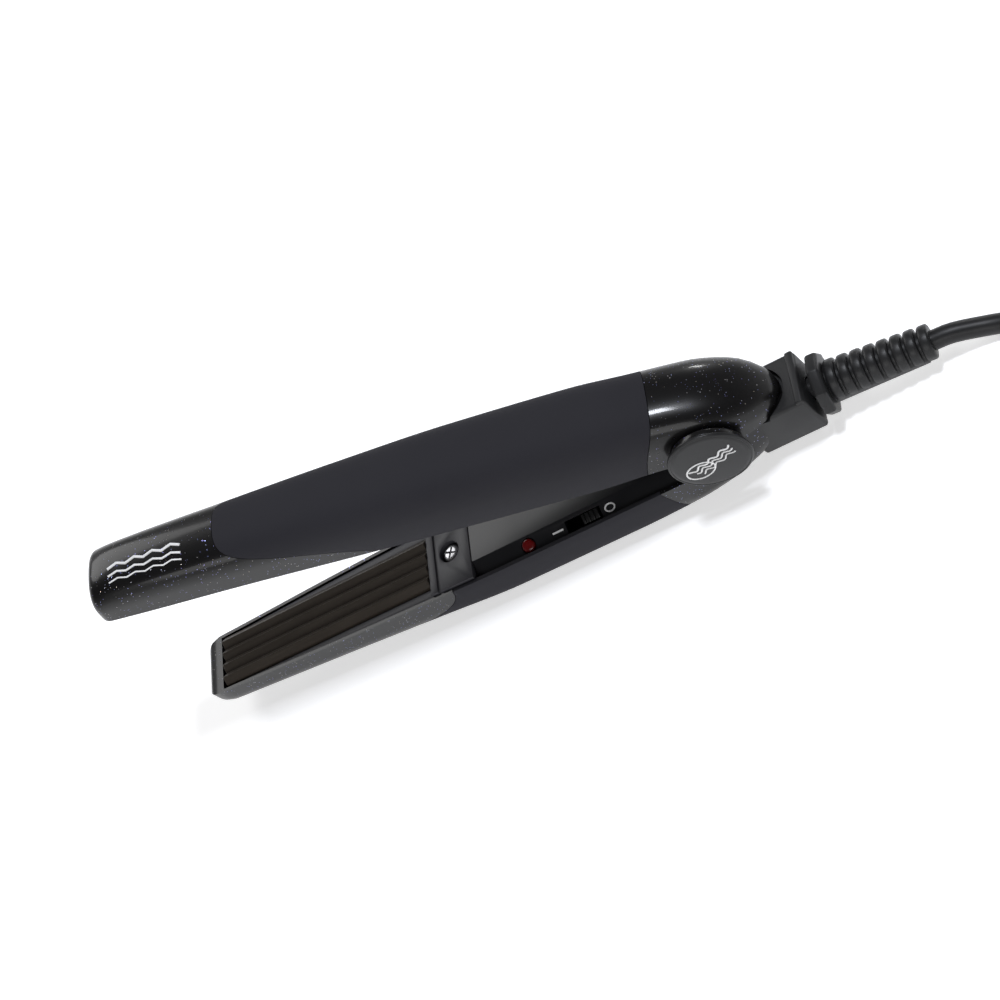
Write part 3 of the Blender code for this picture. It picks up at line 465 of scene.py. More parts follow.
def box(name, low, high, bevel=0.0, segments=3):
    """A box between two corners, with its edges rounded by bevel."""
    bm = bmesh.new()
    bmesh.ops.create_cube(bm, size=1.0)
    for vert in bm.verts:
        vert.co = [a + (b - a) * (c + 0.5) for a, b, c in zip(low, high, vert.co)]
    if bevel:
        bmesh.ops.bevel(bm, geom=bm.edges[:], offset=bevel, segments=segments, profile=0.5, affect="EDGES")
    return draft(name, bm)


def prism(name, outline, axis, low, high):
    """An outline pushed along an axis: "x" takes (y, z), "y" takes (x, z) and "z" takes (x, y)."""
    spot = {"x": 0, "y": 1, "z": 2}[axis]
    push = [0.0, 0.0, 0.0]
    push[spot] = high - low
    bm = bmesh.new()
    face = bm.faces.new([bm.verts.new((*point[:spot], low, *point[spot:])) for point in outline])
    made = bmesh.ops.extrude_face_region(bm, geom=[face])
    raised = [item for item in made["geom"] if isinstance(item, bmesh.types.BMVert)]
    bmesh.ops.translate(bm, vec=push, verts=raised)
    return draft(name, bm)


def turned(name, start, along, profile, sides=48, seam=0.0):
    """A body turned about a straight line: profile holds (distance along, radius) pairs."""
    bm = bmesh.new()
    line = [(radius, distance) for distance, radius in profile]
    line = [(0.0, profile[0][0]), *line, (0.0, profile[-1][0])]
    verts = [bm.verts.new((radius, 0.0, distance)) for radius, distance in line]
    edges = [bm.edges.new(pair) for pair in zip(verts, verts[1:])]
    turn = {"cent": (0.0, 0.0, 0.0), "axis": UP, "angle": 2.0 * math.pi, "steps": sides, "use_merge": True}
    bmesh.ops.spin(bm, geom=[*verts, *edges], **turn)
    bmesh.ops.remove_doubles(bm, verts=bm.verts, dist=0.0005)
    stand = UP.rotation_difference(Vector(along)).to_matrix().to_4x4() @ Matrix.Rotation(seam, 4, "Z")
    bmesh.ops.transform(bm, matrix=Matrix.Translation(start) @ stand, verts=bm.verts)
    return draft(name, bm)


def rounded_profile(length, radius, edge, steps=5):
    """A turned profile for a cylinder with its two rims rounded."""
    angles = [math.pi / 2 * i / steps for i in range(steps + 1)]
    rise = [(edge * (1.0 - math.cos(a)), radius - edge + edge * math.sin(a)) for a in angles]
    return [*rise, *((length - at, size) for at, size in reversed(rise))]


def carve(target, how, *others):
    """Cuts, joins or keeps the common part of bodies, applies it, and removes the others."""
    for other in others:
        modifier = target.modifiers.new(other.name, "BOOLEAN")
        modifier.object = other
        modifier.operation = how
        modifier.solver = "EXACT"
    settle(target)
    for other in others:
        bpy.data.objects.remove(other, do_unlink=True)
    return target


def settle(target):
    """Applies the target's modifiers."""
    graph = bpy.context.evaluated_depsgraph_get()
    mesh = bpy.data.meshes.new_from_object(target.evaluated_get(graph))
    target.modifiers.clear()
    target.data = mesh


def round_edges(target, width, segments=3, angle=40.0):
    """Rounds the target's sharp edges."""
    modifier = target.modifiers.new("rounded", "BEVEL")
    modifier.width = width
    modifier.segments = segments
    modifier.limit_method = "ANGLE"
    modifier.angle_limit = math.radians(angle)
    modifier.use_clamp_overlap = True
    modifier.miter_outer = "MITER_ARC"
    settle(target)
    return target


def piece(made, where, look, body, replaced=(), sharp=38.0):
    """Carries a working object into the world, and makes it a finished piece."""
    made.data.transform(where)
    made.data.materials.clear()
    made.data.materials.append(look)
    made.data.shade_smooth()
    made.data.set_sharp_from_angle(angle=math.radians(sharp))
    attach(made, body)
    if replaced:
        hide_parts(*replaced)
    return made


def wire(name, points, radius, where, look, body, cyclic=False, sides=3):
    """A round or ring-shaped line through points in an arm's frame."""
    curve = bpy.data.curves.new(name, "CURVE")
    curve.dimensions = "3D"
    curve.bevel_depth = radius * MM
    curve.bevel_resolution = sides
    curve.use_fill_caps = True
    spline = curve.splines.new("POLY")
    spline.points.add(len(points) - 1)
    for target, point in zip(spline.points, points):
        target.co = (*(where @ Vector(point)), 1.0)
    spline.use_cyclic_u = cyclic
    spline.use_smooth = True
    curve.materials.append(look)
    made = bpy.data.objects.new(name, curve)
    bpy.context.collection.objects.link(made)
    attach(made, body)
    return made


def smooth_line(points, steps):
    """Points along a smooth curve through the given ones."""
    padded = [points[0], *points, points[-1]]
    made = []
    for p0, p1, p2, p3 in zip(padded, padded[1:], padded[2:], padded[3:]):
        for i in range(steps):
            t = i / steps
            point = []
            for a, b, c, d in zip(p0, p1, p2, p3):
                square = 2 * a - 5 * b + 4 * c - d
                cube = 3 * b - a - 3 * c + d
                point.append(0.5 * (2 * b + (c - a) * t + square * t * t + cube * t**3))
            made.append(tuple(point))
    return [*made, tuple(points[-1])]


def bezier(p0, p1, p2, p3, steps):
    """Points along one cubic curve."""
    made = []
    for i in range(steps + 1):
        t = i / steps
        s = 1.0 - t
        weights = (s**3, 3 * s * s * t, 3 * s * t * t, t**3)
        made.append(tuple(sum(w * v for w, v in zip(weights, values)) for values in zip(p0, p1, p2, p3)))
    return made


# ---------------------------------------------------------------- the arms' surfaces


def slopes(xs, ys):
    """The slope at each station that makes a smooth curve with no overshoot."""
    steps = [(y1 - y0) / (x1 - x0) for x0, x1, y0, y1 in zip(xs, xs[1:], ys, ys[1:])]
    made = [steps[0]]
    for before, after in zip(steps, steps[1:]):
        made.append(0.0 if before * after <= 0 else 2.0 * before * after / (before + after))
    return [*made, steps[-1]]


def smooth_stations(stations):
    """A function that gives the arm's smooth section values at a place."""
    xs = [s[0] for s in stations]
    columns = [[s[i] for s in stations] for i in range(1, 5)]
    leans = [slopes(xs, column) for column in columns]

    def at(x):
        x = min(max(x, xs[0]), xs[-1])
        i = max(k for k in range(len(xs) - 1) if xs[k] <= x)
        h = xs[i + 1] - xs[i]
        t = (x - xs[i]) / h
        made = [x]
        for column, lean in zip(columns, leans):
            start = (1 + 2 * t) * (1 - t) ** 2 * column[i] + t * (1 - t) ** 2 * h * lean[i]
            end = t * t * (3 - 2 * t) * column[i + 1] + t * t * (t - 1) * h * lean[i + 1]
            made.append(start + end)
        return made

    return at


lower_at = smooth_stations(LOWER_STATIONS)
upper_at = smooth_stations(UPPER_STATIONS)


def section(x, half, rim, shoulder, back, power, inset=0.0, rise=0.0):
    """One loop round an arm: flat at its rim, straight sides, and a rounded back."""
    away = 1.0 if back > rim else -1.0
    half -= inset
    back -= away * inset
    shoulder = min(shoulder, back - 0.4) if away > 0 else max(shoulder, back + 0.4)
    loop = [(x, half, rim - away * rise)]
    for i in range(ARC_STEPS + 1):
        a = math.pi * i / ARC_STEPS
        loop.append(arc_point(x, half, shoulder, back, power, a))
    loop.append((x, -half, rim - away * rise))
    return loop


def arc_point(x, half, shoulder, back, power, a):
    """A point on the rounded part of a section."""
    y = half * math.copysign(abs(math.cos(a)) ** (2.0 / power), math.cos(a))
    z = shoulder + (back - shoulder) * abs(math.sin(a)) ** (2.0 / power)
    return (x, y, z)


def places(start, end, pitch, near_ends):
    """Places along an arm, closer together near its ends."""
    count = int((end - start) / pitch)
    even = [start + (end - start) * i / count for i in range(count + 1)]
    ends = [*(start + d for d in near_ends), *(end - d for d in near_ends)]
    return sorted({round(x, 3) for x in [*even, *ends]})


def arm_loops(at, power, start, end, inset, rise=0.0, pitch=2.6):
    """The arm's sections between two places, all moved inwards."""
    steps = places(start, end, pitch, (0.25, 0.55, 0.95, 1.4, 1.9))
    return [section(*at(x), power, inset, rise) for x in steps]


def upper_grip_outline():
    """The upper grip's side view: its front is rounded, and its edge runs down to the rim."""
    front = bezier((-78.0, -8.0), (-96.0, 3.5), (-124.6, 3.0), (-124.6, 9.5), 26)
    back = bezier((-10.0, 16.0), (-10.6, 9.0), (-15.2, 6.0), (-16.6, -8.0), 14)
    return [*front, (-124.6, 40.0), (-10.0, 40.0), *back]


def lower_grip_outline():
    """The lower grip's side view: it leaves the rim square on and sweeps forward under the arm."""
    front = bezier((-81.0, -4.0), (-80.0, -15.0), (-92.0, -14.5), (-116.0, -19.5), 26)
    back = bezier((-13.5, -24.0), (-14.0, -18.0), (-18.0, -13.0), (-18.4, -4.0), 14)
    return [*front, (-118.0, -40.0), (-13.5, -40.0), *back]


def widened(outline, by):
    """An outline pushed outwards."""
    turn = sum(a[0] * b[1] - b[0] * a[1] for a, b in zip(outline, [*outline[1:], outline[0]]))
    side = by if turn > 0 else -by
    made = []
    for i, here in enumerate(outline):
        before, after = outline[i - 1], outline[(i + 1) % len(outline)]
        dx, dz = after[0] - before[0], after[1] - before[1]
        size = math.hypot(dx, dz)
        made.append((here[0] + side * dz / size, here[1] - side * dx / size))
    return made


def grip_body(name, at, power, ends, outline):
    """A rubber grip: the arm's skin inside its outline, GRIP_THICK deep."""
    grip = loft(name, arm_loops(at, power, *ends, 0.0))
    carve(grip, "INTERSECT", prism("region", outline, "y", -30.0, 30.0))
    carve(grip, "DIFFERENCE", loft("under", arm_loops(at, power, *ends, GRIP_THICK, 9.0)))
    return grip


def grip_recess(at, power, ends, outline):
    """What the grip's recess takes out of its shell."""
    recess = prism("recess", widened(outline, GAP * 0.5), "y", -30.0, 30.0)
    return carve(recess, "DIFFERENCE", loft("floor", arm_loops(at, power, *ends, GRIP_THICK + GAP, 9.0)))


# ---------------------------------------------------------------- the lower arm


def rebate(name, at, spots, low, high):
    """The step along the inside of a shell's rim that its covers lie in."""
    loops = []
    for x in spots:
        half = at(x)[1] - REBATE
        loops.append([(x, -half, low), (x, half, low), (x, half, high), (x, -half, high)])
    return loft(name, loops)


def bore(name, start, along, radius, length):
    """A plain round cutter or post."""
    return turned(name, start, along, ((0.0, radius), (length, radius)), 32, 0.13)


def below_base():
    """Everything under the flat that the lower arm lies on."""
    return box("below", (-200.0, -40.0, -60.0), (60.0, 40.0, FLOOR))


def nose_pocket():
    """The hollow in the neck that clears the upper arm's round nose."""
    oval = [(20.4 * math.cos(a), 11.3 * math.sin(a)) for a in (math.pi * i / 48 for i in range(96))]
    under_nose = [(-22.0, -10.0), (3.0, -10.0), (3.0, -3.8), (6.0, -3.9)]
    under_nose += [(10.4, -4.3), (14.3, -5.1), (22.0, -7.0)]
    over_neck = prism("over_neck", [*under_nose, (22.0, 14.0), (-22.0, 14.0)], "y", -14.0, 14.0)
    return carve(prism("pocket", oval, "z", -9.5, 12.0), "INTERSECT", over_neck)


def lower_shell(look):
    """The hollow lower shell with its ear, its lug and its screw boss."""
    ends = (LOWER_STATIONS[0][0], LOWER_STATIONS[-1][0])
    shell = loft("lower_casing", arm_loops(lower_at, LOWER_POWER, *ends, 0.0))
    hollow = loft("hollow", arm_loops(lower_at, LOWER_POWER, TIP_WALL, 3.0, WALL, 12.0))
    spots = (-158.4, -150.0, -136.0, -122.0, -106.0, -90.0, -66.0, -12.4)
    ledge = rebate("ledge", lower_at, spots, LOWER_LEDGE, 0.0)
    pocket = nose_pocket()
    recess = grip_recess(lower_at, LOWER_POWER, ends, lower_grip_outline())
    carve(shell, "DIFFERENCE", hollow, ledge, pocket, below_base(), recess)
    deep = EAR_OUTER - EAR_INNER
    ear = turned("ear", (0.0, -EAR_INNER, 0.0), NEAR, rounded_profile(deep, EAR_RADIUS, 0.4), 72)
    angles = [math.pi * i / 24 for i in range(25)]
    head = [(LUG_RADIUS * math.cos(a), LUG_RADIUS * math.sin(a)) for a in angles]
    lug = prism("lug", [*head, (-LUG_RADIUS, -18.2), (-0.4, -18.2)], "y", LUG_INNER, LUG_OUTER)
    boss = bore("boss", (SCREW_X, 0.0, -18.6), UP, 3.0, 8.2)
    carve(shell, "UNION", ear, lug, boss)
    hole = bore("hole", (SCREW_X, 0.0, -16.4), UP, 1.5, 9.0)
    pin_hole = bore("pin_hole", (0.0, -20.0, 0.0), -NEAR, PIN_RADIUS + GAP, 40.0)
    channel = bore("channel", (1.0, 0.0, RELIEF_Z), BACKWARDS, 3.2, 26.0)
    carve(shell, "DIFFERENCE", hole, pin_hole, channel)
    piece(shell, LOWER, look, "lower_arm", ("lower_shell",), 60.0)


def tail_block(look):
    """The square block that the cord comes out of, with a low rib across its rear edge."""
    low, high = (7.2, -TAIL_HALF, TAIL_BOTTOM), (TAIL_END, TAIL_HALF, TAIL_TOP)
    block = box("tail_block", low, high, 0.9, 4)
    low = (TAIL_END - 2.2, -TAIL_HALF + 0.1, TAIL_TOP - 1.0)
    high = (TAIL_END - 0.2, TAIL_HALF - 0.1, TAIL_TOP + 0.6)
    carve(block, "UNION", box("rib", low, high, 0.45, 3))
    channel = bore("channel", (1.0, 0.0, RELIEF_Z), BACKWARDS, 3.2, 26.0)
    carve(block, "DIFFERENCE", nose_pocket(), channel)
    piece(block, LOWER, look, "lower_arm", ())


def lower_grip(look):
    """The rubber grip under the lower arm, with softly rounded edges."""
    ends = (LOWER_STATIONS[0][0], LOWER_STATIONS[-1][0])
    grip = grip_body("lower_grip_skin", lower_at, LOWER_POWER, ends, lower_grip_outline())
    carve(grip, "DIFFERENCE", below_base())
    round_edges(grip, 0.22, 2)
    piece(grip, LOWER, look, "lower_arm", ("lower_grip",))


def ridge_outline(face, back):
    """The plate's cross-section: its face folded into ridges with rounded crests and valleys."""
    pitch = PLATE_HALF / RIDGES
    outline = []
    for i in range(2 * RIDGES + 1):
        y = -PLATE_HALF + i * pitch
        level = RIDGE_HEIGHT / 2.0 if i % 2 else -RIDGE_HEIGHT / 2.0
        for step in (-0.16, -0.08, 0.0, 0.08, 0.16):
            if -PLATE_HALF <= y + step * pitch <= PLATE_HALF:
                drop = RIDGE_HEIGHT * (0.045 + 0.45 * abs(step) + 1.76 * step * step)
                outline.append((y + step * pitch, face + level - math.copysign(drop, level)))
    return [*outline, (PLATE_HALF, back), (-PLATE_HALF, back)]


def crimp_plate(name, node, face, back, where, look, body):
    """A heating plate, with the ridges' ends slightly chamfered."""
    edge = math.copysign(0.15, back - face)
    ends = ((PLATE_TIP, edge), (PLATE_TIP + 0.15, 0.0), (PLATE_END - 0.15, 0.0), (PLATE_END, edge))
    loops = [[(x, *point) for point in ridge_outline(face + lower, back)] for x, lower in ends]
    piece(loft(name, loops), where, look, body, (node,), 25.0)


def plate_carrier(name, node, at, face, block_face, floor, away, where, look, body):
    """The plate's tray and, behind it, the block with its cross groove and its screw recess."""
    loops = []
    for x in (-150.0, -140.0, -130.0, -122.0, -106.0, -90.0, BLOCK_END):
        half = at(x)[1] - REBATE - GAP
        loops.append([(x, -half, block_face), (x, half, block_face), (x, half, floor), (x, -half, floor)])
    tray = loft(name, loops)
    wide = PLATE_HALF + GAP
    low, high = min(face, block_face) - 4.0, max(face, block_face) + 4.0
    pocket = box("pocket", (-170.0, -wide, low), (PLATE_END + GAP, wide, high))
    low, high = sorted((block_face - away * 4.0, block_face + away * 1.3))
    step = box("step", (-170.0, -20.0, low), (PLATE_END + GAP, 20.0, high))
    hole = bore("hole", (SCREW_X, 0.0, -20.0), UP, 1.6, 40.0)
    seat = bore("seat", (SCREW_X, 0.0, block_face - away * 2.0), (0.0, 0.0, away), 3.0, 4.2)
    low, high = sorted((block_face - away * 1.0, block_face + away * 0.5))
    groove = box("groove", (-85.1, -20.0, low), (-84.3, 20.0, high))
    carve(tray, "DIFFERENCE", pocket, step, hole, seat, groove)
    round_edges(tray, 0.14, 2)
    piece(tray, where, look, body, (node,))


def phillips_screw(name, node, top, along, where, look, body):
    """A pan-head screw with a cross recess."""
    head = [(0.0, 1.4), (0.12, 1.95), (0.35, 2.35), (0.7, 2.5), (1.2, 2.5)]
    profile = [*head, (1.2, 1.15), (7.0, 1.15), (7.8, 0.4)]
    made = turned(name, top, along, profile, 40)
    for turn in (0.35, 0.35 + math.pi / 2):
        slot = box("slot", (-1.55, -0.3, -1.0), (1.55, 0.3, 0.85))
        stand = UP.rotation_difference(along).to_matrix().to_4x4() @ Matrix.Rotation(turn, 4, "Z")
        slot.data.transform(Matrix.Translation(top) @ stand)
        carve(made, "DIFFERENCE", slot)
    piece(made, where, look, body, (node,), 30.0)


def slope_point(x, down, up):
    """A place over the inner cover's slope: down from its upper edge, and up off its face."""
    y = RIDGE_Y - down * math.cos(SLOPE) - up * math.sin(SLOPE)
    return (x, y, PLATE_FACE - down * math.sin(SLOPE) + up * math.cos(SLOPE))


def slope_box(name, x0, x1, down0, down1, up0, up1):
    """A box lined up with the inner cover's slope."""
    corners = ((down0, up0), (down1, up0), (down1, up1), (down0, up1))
    return loft(name, [[slope_point(x, down, up) for down, up in corners] for x in (x0, x1)])


def slope_turned(name, x, down, profile, sides=40):
    """A turned body that stands square on the slope; profile holds (height, radius) pairs."""
    return turned(name, slope_point(x, down, 0.0), (0.0, -math.sin(SLOPE), math.cos(SLOPE)), profile, sides)


def inner_cover(look):
    """The lower arm's cover: a flat top, a slope with the switch's slot and the lamp's hole."""
    near_z = PLATE_FACE - (10.8 + RIDGE_Y) * math.tan(SLOPE)
    loops = []
    for x in (BLOCK_END + GAP, -60.0, -40.0, -25.0, COVER_END):
        far = lower_at(x)[1] - REBATE - GAP
        outside = [(-far, near_z), (RIDGE_Y, PLATE_FACE), (far - 0.8, PLATE_FACE), (far, PLATE_FACE - 0.8)]
        inside = [(far, -8.1), (-5.4, -8.1), (-9.0, -9.6), (-far, -9.6)]
        loops.append([(x, y, z) for y, z in outside + inside])
    cover = loft("switch_cover", loops)
    half = SLOT_LENGTH / 2.0
    middle = SWITCH_X - SWITCH_TRAVEL / 2.0
    slot = slope_box("slot", middle - half, middle + half, SLOPE_MID - 1.6, SLOPE_MID + 1.6, -6.0, 3.0)
    lamp_hole = slope_turned("lamp_hole", LAMP_X, SLOPE_MID, ((-6.0, 2.1), (3.0, 2.1)))
    carve(cover, "DIFFERENCE", slot, lamp_hole)
    round_edges(cover, 0.6, 4, 24.0)
    piece(cover, LOWER, look, "lower_arm", ("inner_cover",), 30.0)


def switch_marks(look):
    """The white I and O beside the switch."""
    mark = slope_box("mark_on", -49.8, -46.6, SLOPE_MID - 0.25, SLOPE_MID + 0.25, -0.05, 0.06)
    piece(mark, LOWER, look, "lower_arm", ())
    ring = []
    for i in range(28):
        a = 2.0 * math.pi * i / 28
        ring.append(slope_point(-32.6 + 1.35 * math.cos(a), SLOPE_MID + 0.95 * math.sin(a), 0.02))
    wire("mark_off", ring, 0.22, LOWER, look, "lower_arm", cyclic=True)


def switch_knob(look):
    """The slide switch's knob: a rounded block with three ribs."""
    half = KNOB_LENGTH / 2.0
    ends, sides = (SWITCH_X - half, SWITCH_X + half), (SLOPE_MID - 1.3, SLOPE_MID + 1.3)
    knob = slope_box("slide_knob", *ends, *sides, -3.4, 0.5)
    for i in range(3):
        x = SWITCH_X - 1.35 + 1.35 * i
        groove = slope_box("groove", x - 0.28, x + 0.28, SLOPE_MID - 3.0, SLOPE_MID + 3.0, 0.12, 2.0)
        carve(knob, "DIFFERENCE", groove)
    round_edges(knob, 0.14, 2)
    piece(knob, LOWER, look, "switch", ("switch_knob",))


def indicator(looks):
    """The red lens, its domed face set just above the slope."""
    profile = [(-1.2, 1.8), (0.1, 1.8), (0.28, 1.68), (0.42, 1.4), (0.52, 1.0), (0.58, 0.5)]
    lens = slope_turned("lamp_lens", LAMP_X, SLOPE_MID, profile)
    piece(lens, LOWER, looks["lens"], "lower_arm", ("indicator_lens",), 50.0)


def hinge_cap(look):
    """The large round cap: a shallow dome with a fine groove inside its rim."""
    face = CAP_THICK
    profile = [(0.0, 9.9), (0.08, 10.15), (0.25, 10.35), (0.45, CAP_RADIUS), (0.7, CAP_RADIUS)]
    profile += [(0.88, 10.3), (1.0, 10.12), (1.1, 9.9), (1.0, 9.78), (1.0, 9.62), (1.12, 9.5)]
    for i in range(1, 12):
        radius = 9.5 * (1.0 - i / 12.0)
        profile.append((1.12 + (face - 1.12) * (1.0 - (radius / 9.5) ** 2), radius))
    cap = turned("cap_near", (0.0, -EAR_OUTER - GAP, 0.0), NEAR, profile, 96)
    piece(cap, LOWER, look, "lower_arm", ("hinge_cap_near",), 50.0)


def cap_motif(look):
    """A generic motif on the cap: a ring with three waves that run through it."""
    y = -EAR_OUTER - GAP - CAP_THICK

    def on_cap(u, v):
        """A point of the cap's face: u runs along the motif, which is tilted, and v across it."""
        a = math.radians(16.0)
        x, z = u * math.cos(a) - v * math.sin(a), u * math.sin(a) + v * math.cos(a)
        dome = (CAP_THICK - 1.12) * min((math.hypot(x, z) / 9.5) ** 2, 1.0)
        return (x, y + dome + 0.02, z)

    angles = [math.pi * i / 24 for i in range(48)]
    ring = [on_cap(-3.8 + 3.9 * math.cos(a), -0.3 + 2.9 * math.sin(a)) for a in angles]
    wire("cap_ring", ring, 0.22, LOWER, look, "lower_arm", cyclic=True)
    for i in range(3):
        line = []
        for k in range(29):
            u = -6.2 + i * 1.0 + (13.4 - 1.4 * i) * k / 28
            line.append(on_cap(u, 1.0 - 1.25 * i + 0.5 * math.sin(u * 1.8)))
        wire(f"cap_wave_{i + 1}", line, 0.26 - 0.03 * i, LOWER, look, "lower_arm")


# ---------------------------------------------------------------- the upper arm


def upper_shell(look):
    """The hollow upper shell, whose round nose runs on past the hinge."""
    ends = (UPPER_STATIONS[0][0], NOSE_LENGTH)
    shell = loft("upper_casing", arm_loops(upper_at, UPPER_POWER, *ends, 0.0))
    hollow = loft("hollow", arm_loops(upper_at, UPPER_POWER, TIP_WALL, 15.6, WALL, 12.0))
    spots = (-158.4, -152.0, -136.0, -122.0, -106.0, -90.0, -60.0, -30.0, -13.0)
    ledge = rebate("ledge", upper_at, spots, -14.0, UPPER_LEDGE)
    recess = grip_recess(upper_at, UPPER_POWER, ends, upper_grip_outline())
    carve(shell, "DIFFERENCE", hollow, ledge, recess)
    carve(shell, "UNION", bore("boss", (SCREW_X, 0.0, 10.0), DOWN, 3.0, 10.6))
    hole = bore("hole", (SCREW_X, 0.0, -2.0), UP, 1.5, 9.0)
    pin_hole = bore("pin_hole", (0.0, -20.0, 0.0), -NEAR, PIN_RADIUS + GAP, 40.0)
    cap_recess = bore("cap_recess", (0.0, 10.0, 0.0), -NEAR, 3.6 + GAP, 4.0)
    carve(shell, "DIFFERENCE", hole, pin_hole, cap_recess)
    piece(shell, UPPER, look, "upper_arm", ("upper_shell",))


def upper_grip(look):
    """The rubber grip over the upper arm, with softly rounded edges."""
    ends = (UPPER_STATIONS[0][0], NOSE_LENGTH)
    grip = grip_body("upper_grip_skin", upper_at, UPPER_POWER, ends, upper_grip_outline())
    round_edges(grip, 0.22, 2)
    piece(grip, UPPER, look, "upper_arm", ("upper_grip",))


def tip_motif(look):
    """A generic zigzag motif printed near the upper arm's tip, in place of lettering."""
    for row in range(3):
        line = []
        for k in range(9):
            x = -154.0 + 2.6 * k
            around = 1.05 + 0.2 * row + (0.075 if k % 2 else 0.0)
            x0, half, rim, shoulder, back = upper_at(x)
            y, z = arc_point(x0, half, shoulder, back, UPPER_POWER, math.pi - around)[1:]
            line.append((x, y - 0.02, z + 0.02))
        wire(f"tip_zigzag_{row + 1}", line, 0.2 + 0.09 * row, UPPER, look, "upper_arm")


def upper_cover(look):
    """The flat cover over the upper arm's hollow."""
    loops = []
    for x in (BLOCK_END + GAP, -60.0, -45.0, -30.0, COVER_END - 1.0):
        values = upper_at(x)
        half = values[1] - REBATE - GAP
        low = values[2] + 0.3
        loops.append([(x, -half, low), (x, half, low), (x, half, low + 1.6), (x, -half, low + 1.6)])
    cover = loft("upper_lining", loops)
    round_edges(cover, 0.2, 2)
    piece(cover, UPPER, look, "upper_arm", ("upper_inner_cover",))


# ---------------------------------------------------------------- strain relief, cord and plug


def relief_along():
    """The direction that the strain relief points in."""
    return Vector((math.cos(RELIEF_DROOP), 0.0, -math.sin(RELIEF_DROOP)))


def relief_end(extra=0.0):
    """The place where the cord leaves the boot."""
    return Vector((RELIEF_X, 0.0, RELIEF_Z)) + relief_along() * (RELIEF_LENGTH + extra)


def strain_relief(look):
    """The ringed boot with its eight-sided collar, drooping a little from the block."""
    start = (RELIEF_X, 0.0, RELIEF_Z)
    first = FLANGE_THICK - 0.4
    pitch = (RELIEF_LENGTH - first) / RELIEF_RINGS
    # One ring: the part of the pitch along it, and how far it lies under the ring's top.
    ring = [(0.0, 1.15), (0.16, 1.15), (0.21, 0.45), (0.3, 0.12)]
    ring += [(0.44, 0.0), (0.82, 0.0), (0.93, 0.12), (0.99, 0.45)]
    profile = [(0.0, RELIEF_BASE * 0.8)]
    for i in range(RELIEF_RINGS):
        at = first + i * pitch
        radius = RELIEF_BASE + (RELIEF_TIP - RELIEF_BASE) * i / (RELIEF_RINGS - 1)
        profile += [(at + along * pitch, radius - drop) for along, drop in ring]
    boot = turned("ringed_boot", start, relief_along(), profile, 56)
    edge = FLANGE_RADIUS - 0.5
    flange = ((0.0, edge), (0.5, FLANGE_RADIUS), (FLANGE_THICK - 0.5, FLANGE_RADIUS), (FLANGE_THICK, edge))
    collar = turned("collar", start, relief_along(), flange, 8, 0.13)
    round_edges(collar, 0.3, 3, 30.0)
    stub = bore("stub", (TAIL_END - 12.0, 0.0, RELIEF_Z), BACKWARDS, 2.7, 15.5)
    spine_start = (TAIL_END + 2.0, -1.6, RELIEF_Z - 1.6)
    spine = turned("spine", spine_start, relief_along(), ((0.0, 3.4), (RELIEF_LENGTH - 3.2, 2.5)), 40)
    carve(boot, "UNION", collar, stub, spine)
    piece(boot, LOWER, look, "lower_arm", ("strain_relief",), 42.0)


def hank_point(turn, layer, ring):
    """A point of the hank: turn counts turns from the near side of the waist, ring 0 is the outer one."""
    loop = HANK_LOOP - (CORD + 0.05) * ring
    waist = HANK_WAIST - (CORD + 0.1) * ring
    u = turn % 1.0
    side = (0.5 - HANK_ARC) / 2.0
    half = u % 0.5
    if half < side:
        x = HANK_STRAIGHT * half / side
    elif half > side + HANK_ARC:
        x = HANK_STRAIGHT * (0.5 - half) / side
    else:
        x = None
    if x is None:
        a = math.pi * (half - side) / HANK_ARC
        x, y = HANK_STRAIGHT + loop * math.sin(a), -loop * math.cos(a)
    else:
        y = waist + (loop - waist) * (0.5 - 0.5 * math.cos(math.pi * x / HANK_STRAIGHT))
        y = -y if half < side else y
    if u >= 0.5:
        x, y = -x, -y
    level = FLOOR + CORD / 2.0 + 0.02 + (CORD + 0.07) * layer
    return (HANK_X + x, y, level)


def eased(value, middle, half):
    """0 before a stretch, 1 after it, and smooth between."""
    t = min(max((value - middle + half) / (2.0 * half), 0.0), 1.0)
    return t * t * (3.0 - 2.0 * t)


def cord_route():
    """The whole cord: out of the boot, down to the surface, through the hank and up to the plug."""
    level = FLOOR + CORD / 2.0 + 0.02
    start = [relief_end(-3.0), relief_end(GAP), relief_end(5.0), (67.0, -0.6, level + 1.0)]
    flat = ((73.0, -2.1), (78.0, -4.8), (82.0, -8.2), (88.0, -13.6), (95.0, -18.0))
    start += [(x, y, level) for x, y in flat]
    hank = []
    first, last, steps = -0.13, 6.8, 30
    # Where the cord moves: the turn, how many layers up, and how many rings inwards.
    moves = [(0.564, 0, 1), (1.43, 1, 0), (2.25, 0, -1), (3.07, 1, 0)]
    moves += [(3.93, 0, 1), (4.81, 1, 0), (5.70, 0, -1)]
    for i in range(int((last - first) * steps) + 1):
        turn = first + i / steps
        layer = sum(rise * eased(turn, at, 0.05) for at, rise, side in moves)
        ring = sum(side * eased(turn, at, 0.05) for at, rise, side in moves)
        layer += 1.06 * eased(turn, 6.57, 0.055)
        ring += 1.15 * eased(turn, 6.68, 0.09)
        hank.append(hank_point(turn, layer, ring))
    top = HANK_TOP
    low = top + GAP + CORD / 2.0
    middle = top + PLUG_RISE
    end = [(HANK_X - 26.0, -11.4, low), (HANK_X - 18.0, -7.4, low + 0.3), (HANK_X - 9.0, -2.4, low + 2.0)]
    end += [(HANK_X + 4.0, 0.0, middle - 0.4), (HANK_X + 12.0, 0.0, middle), (HANK_X + 15.0, 0.0, middle)]
    return [*start, *hank, *end]


